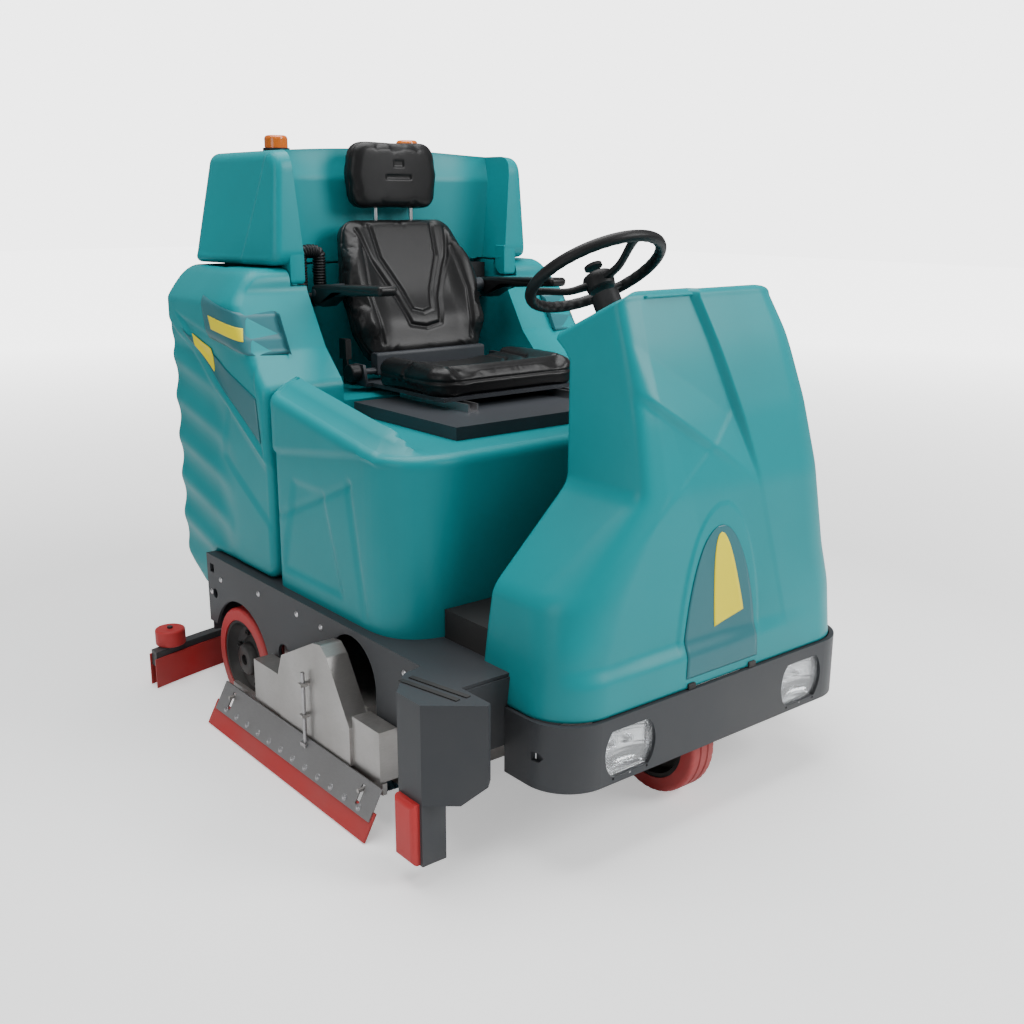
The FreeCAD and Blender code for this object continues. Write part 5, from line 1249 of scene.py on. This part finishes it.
PLATES = [[(1.10, 0.985), (1.34, 1.015), (1.37, 1.125), (1.155, 1.085)],
          [(1.075, 0.770), (1.34, 0.925), (1.50, 1.025), (1.080, 0.880)]]
MARKS = [[(1.330, 0.925), (1.430, 0.985), (1.445, 1.018), (1.345, 0.985)],
         [(1.15, 1.020), (1.31, 1.040), (1.325, 1.075), (1.165, 1.053)]]
for word, side in (("right", -1), ("left", 1)):
    for name, corner_sets, lift, finish in (("side_plates", PLATES, PLATE_LIFT, plate_teal),
                                            ("side_marks", MARKS, MARK_LIFT, plate_yellow)):
        films = [side_plate(corners, side, lift) for corners in corner_sets]
        piece(name + "_" + word, together(name, films), finish, "chassis")

screw_head = [(0, 0), (0, 0.006), (0.0012, 0.0068), (0.0030, 0.0052), (0.0034, 0.0034), (0.0014, 0.0030),
              (0.0014, 0)]
BUMPER_FACE = 0.0040
screws = []
for side in (-1, 1):
    for across_x, up in ((-0.082, 0.030), (0.082, 0.030), (0.0, -0.061)):
        place = (side * LAMP_X + across_x, at(BUMPER_FACE), LAMP_Z + up)
        screws.append(turned_rod("screw", screw_head, place, (0, -1, 0), 12))
piece("bumper_screws", together("bumper_screws", screws), bright_steel, "chassis")
clips = []
for x in (-0.098, 0.104):
    clip_side = rounded_outline([(0.0025, 0.328, 0.003), (0.013, 0.328, 0.003), (0.013, 0.352, 0.003),
                                 (0.0025, 0.350, 0.003)], 32)
    clips.append(bar("clip", clip_side, x - 0.011, x + 0.011, 0.002))
piece("hood_clips", together("hood_clips", clips), black_rubber, "chassis")


# ------------------------------------------------------------------ seat hose
# A short black corrugated hose runs up out of the recess wall behind the seat, over and back in.
# It is a polyethylene spiral hose of 38 mm, held at both ends.

HOSE_R = 0.019
RIB_DEPTH = 0.0028
RIB_PITCH = 0.0075
hose_low, hose_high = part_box("seat_hose")
hose_left = hose_low.x + HOSE_R
hose_right = hose_high.x - HOSE_R
hose_wall = hose_high.y
hose_mid = at(1.300)
arch = (hose_right - hose_left) / 2
rising = [(hose_wall, 1.098), (hose_mid + 0.035, 1.098), (hose_mid, 1.104), (hose_mid, 1.160),
          (hose_mid, 1.205), (hose_mid, 1.205 + arch)]
hose_points = [(hose_left, y, z) for y, z in rising] + [(hose_right, y, z) for y, z in rising[::-1]]
route = bpy.data.curves.new("route", "CURVE")
route.dimensions = "3D"
route.resolution_u = 24
line = route.splines.new("NURBS")
line.points.add(len(hose_points) - 1)
line.points.foreach_set("co", np.column_stack([hose_points, np.ones(len(hose_points))]).reshape(-1))
line.order_u = 3
line.use_endpoint_u = True
route_object = bpy.data.objects.new("route", route)
bpy.context.scene.collection.objects.link(route_object)
bpy.context.view_layer.update()
route_mesh = bpy.data.meshes.new_from_object(
    route_object.evaluated_get(bpy.context.evaluated_depsgraph_get()))
path = np.empty(len(route_mesh.vertices) * 3, np.float32)
route_mesh.vertices.foreach_get("co", path)
path = path.reshape(-1, 3).astype(float)
bpy.data.objects.remove(route_object)
run = np.concatenate([[0], np.cumsum(np.linalg.norm(np.diff(path, axis=0), axis=1))])
HOSE_LENGTH = float(run[-1])
steps = np.linspace(0, HOSE_LENGTH, 520)
centre_line = np.column_stack([np.interp(steps, run, path[:, k]) for k in range(3)])
ahead = np.gradient(centre_line, axis=0)
ahead /= np.linalg.norm(ahead, axis=1, keepdims=True)
flat_side = np.cross(ahead, (0, 1, 0.35))
flat_side /= np.linalg.norm(flat_side, axis=1, keepdims=True)
other_side = np.cross(ahead, flat_side)
section = np.linspace(0, 2 * math.pi, 32, endpoint=False)
ribs = HOSE_R - RIB_DEPTH * (0.5 - 0.5 * np.cos(steps / RIB_PITCH * 2 * math.pi))
hose_grid = (centre_line[:, None, :] + ribs[:, None, None] * (
    flat_side[:, None, :] * np.cos(section)[None, :, None]
    + other_side[:, None, :] * np.sin(section)[None, :, None]))
hose_closed = np.concatenate([centre_line[:1, None, :] + 0 * hose_grid[:1], hose_grid,
                              centre_line[-1:, None, :] + 0 * hose_grid[-1:]])
hose_black = material("hose_black", (0.010, 0.010, 0.011, 1), smooth=0.35, rough=0.5, grain=400.0)
hose = piece("seat_hose_tube", surface("seat_hose_tube", hose_closed, ring=True, angle=60), hose_black,
             "chassis", ["seat_hose"])


# ------------------------------------------------------------------ skirt bolts
# Twelve dome-headed bolts per side clamp the red blade behind the lower edge of each steel skirt.
# They are zinc-plated steel with a broad washer, and lift with the skirt.

BOLTS_PER_SIDE = 12
BOLT_X = 0.6853
BOLT_Z = 0.0575
bolt_profile = [(-0.003, 0), (-0.003, 0.0088), (0.0010, 0.0088), (0.0013, 0.0084), (0.0013, 0.0062),
                (0.0032, 0.0056), (0.0044, 0.0034), (0.0046, 0)]
for word, side in (("right", -1), ("left", 1)):
    bolts = []
    for station in np.linspace(0.452, 1.116, BOLTS_PER_SIDE):
        bolts.append(turned_rod("bolt", bolt_profile, (side * BOLT_X, at(station), BOLT_Z),
                                (side * 0.884, 0, 0.468), 16))
    piece("skirt_bolts_" + word, together("skirt_bolts", bolts), bright_steel, "skirt_" + word)


# ------------------------------------------------------------------ brush rolls
# Each scrub roll is a plastic core with bristle tufts set in spiral rows, nylon, as wide as the head.
# The tufts are drawn into the core, and their tips meet the floor.

TUFT_ROWS = 16
TUFTS_PER_ROW = 70
TUFT_LENGTH = 0.028
TIP_ROOM = 0.0008


def tufts(centre, radius, low_x, high_x):
    """Spiral rows of four-sided tufts that splay from the core to their tips."""
    foot_half, tip_half = 0.0026, 0.0056
    corners = np.array([(-1, -1), (1, -1), (1, 1), (-1, 1)])
    points = []
    faces = []
    for row in range(TUFT_ROWS):
        for step in range(TUFTS_PER_ROW):
            share = (step + 0.5) / TUFTS_PER_ROW
            angle = 2 * math.pi * (row / TUFT_ROWS + 0.5 * share)
            outward = np.array([0, math.cos(angle), math.sin(angle)])
            sideways = np.array([0, -math.sin(angle), math.cos(angle)])
            middle = np.array([low_x + (high_x - low_x) * share, *centre])
            first = len(points)
            for reach, half in ((radius - TUFT_LENGTH, foot_half), (radius - TIP_ROOM, tip_half)):
                for a, b in corners * half:
                    points.append(middle + outward * reach + sideways * a + np.array([b, 0, 0]))
            for side in range(4):
                turn = (side + 1) % 4
                faces.append([first + side, first + turn, first + 4 + turn, first + 4 + side])
            faces.append([first + 4, first + 5, first + 6, first + 7])
    mesh = bpy.data.meshes.new("tufts")
    mesh.from_pydata([tuple(point) for point in points], [], faces)
    return mesh


for word, body in (("front", "brush_a"), ("rear", "brush_b")):
    low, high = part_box("brush_" + word)
    radius = (high[2] - low[2]) / 2
    centre = ((low[1] + high[1]) / 2, (low[2] + high[2]) / 2)
    core_radius = radius - TUFT_LENGTH + 0.002
    core = turned_rod("core", rod_profile(high[0] - low[0] - 0.002, core_radius, 0.003),
                      (low[0] + 0.001, *centre), (1, 0, 0), 48)
    piece("brush_core_" + word, core, black_plastic, body)
    piece("brush_tufts_" + word, tufts(centre, radius, low[0] + 0.008, high[0] - 0.008), bristle,
          body, stands_for=["brush_" + word])


# ------------------------------------------------------------------ studio
# A pale floor that brightens with distance until it meets the sky, soft light from above and both
# sides, and a camera at standing height in front of the machine's right front corner.

SKY_SEEN = 4.0
SKY_LIGHT = 0.30
floor_grid = np.array([[[x, y, 0.0] for y in (-14, 30)] for x in (-22, 22)])
floor = bpy.data.objects.new("floor", surface("floor", floor_grid))
bpy.context.scene.collection.objects.link(floor)
floor_finish = material("floor_paint", (0.93, 0.93, 0.93, 1), (0.91, 0.91, 0.91, 1), smooth=0.5,
                        rough=0.65, grain=60.0, shade=0.02, depth=0.0001, dust=0.0)
floor.data.materials.append(floor_finish)
glow = floor_finish.node_tree
spot = node(glow, "ShaderNodeNewGeometry").outputs["Position"]
reach = node(glow, "ShaderNodeVectorMath", {0: spot}, operation="LENGTH").outputs["Value"]
whiter = node(glow, "ShaderNodeMapRange", {"Value": reach, "From Min": 2.0, "From Max": 9.0,
                                           "To Min": 0.5, "To Max": SKY_SEEN}).outputs[0]
looked_at = node(glow, "ShaderNodeLightPath").outputs["Is Camera Ray"]
lift = node(glow, "ShaderNodeMath", {0: whiter, 1: looked_at}, operation="MULTIPLY")
paint = glow.nodes["Principled BSDF"]
paint.inputs["Emission Color"].default_value = (1, 1, 1, 1)
glow.links.new(lift.outputs[0], paint.inputs["Emission Strength"])

world = bpy.data.worlds.new("studio")
world.use_nodes = True
sky = world.node_tree.nodes["Background"]
sky.inputs["Color"].default_value = (1, 1, 1, 1)
looked_at = node(world.node_tree, "ShaderNodeLightPath").outputs["Is Camera Ray"]
seen = node(world.node_tree, "ShaderNodeMapRange",
            {"Value": looked_at, "To Min": SKY_LIGHT, "To Max": SKY_SEEN})
world.node_tree.links.new(seen.outputs[0], sky.inputs["Strength"])
bpy.context.scene.world = world


def softbox(name, place, target, size, power):
    """A square area light that looks from place to target."""
    lamp = bpy.data.lights.new(name, "AREA")
    lamp.shape = "RECTANGLE"
    lamp.size, lamp.size_y = size
    lamp.energy = power
    holder = bpy.data.objects.new(name, lamp)
    bpy.context.scene.collection.objects.link(holder)
    holder.location = place
    aim = Vector(target) - Vector(place)
    holder.rotation_euler = aim.to_track_quat("-Z", "Y").to_euler()


softbox("key", (2.6, -4.2, 3.4), (0, -0.4, 0.8), (2.4, 2.4), 235)
softbox("top", (0.0, 0.2, 4.2), (0, 0, 0.5), (3.5, 3.5), 220)
softbox("fill", (-4.6, -1.2, 2.2), (0, 0, 0.7), (2.0, 2.6), 40)

camera = bpy.data.cameras.new("camera")
camera.sensor_width = 36.0
camera.lens = 41.04
stand = bpy.data.objects.new("camera", camera)
bpy.context.scene.collection.objects.link(stand)
right = Vector((0.7777, -0.6287, 0.0037)).normalized()
forward = Vector((0.6078, 0.7504, -0.2597)).normalized()
upward = right.cross(forward)
stand.matrix_world = Matrix.Translation((-1.9002, -2.4106, 1.3761)) @ Matrix(
    (right, upward, -forward)).transposed().to_4x4()
bpy.context.scene.camera = stand
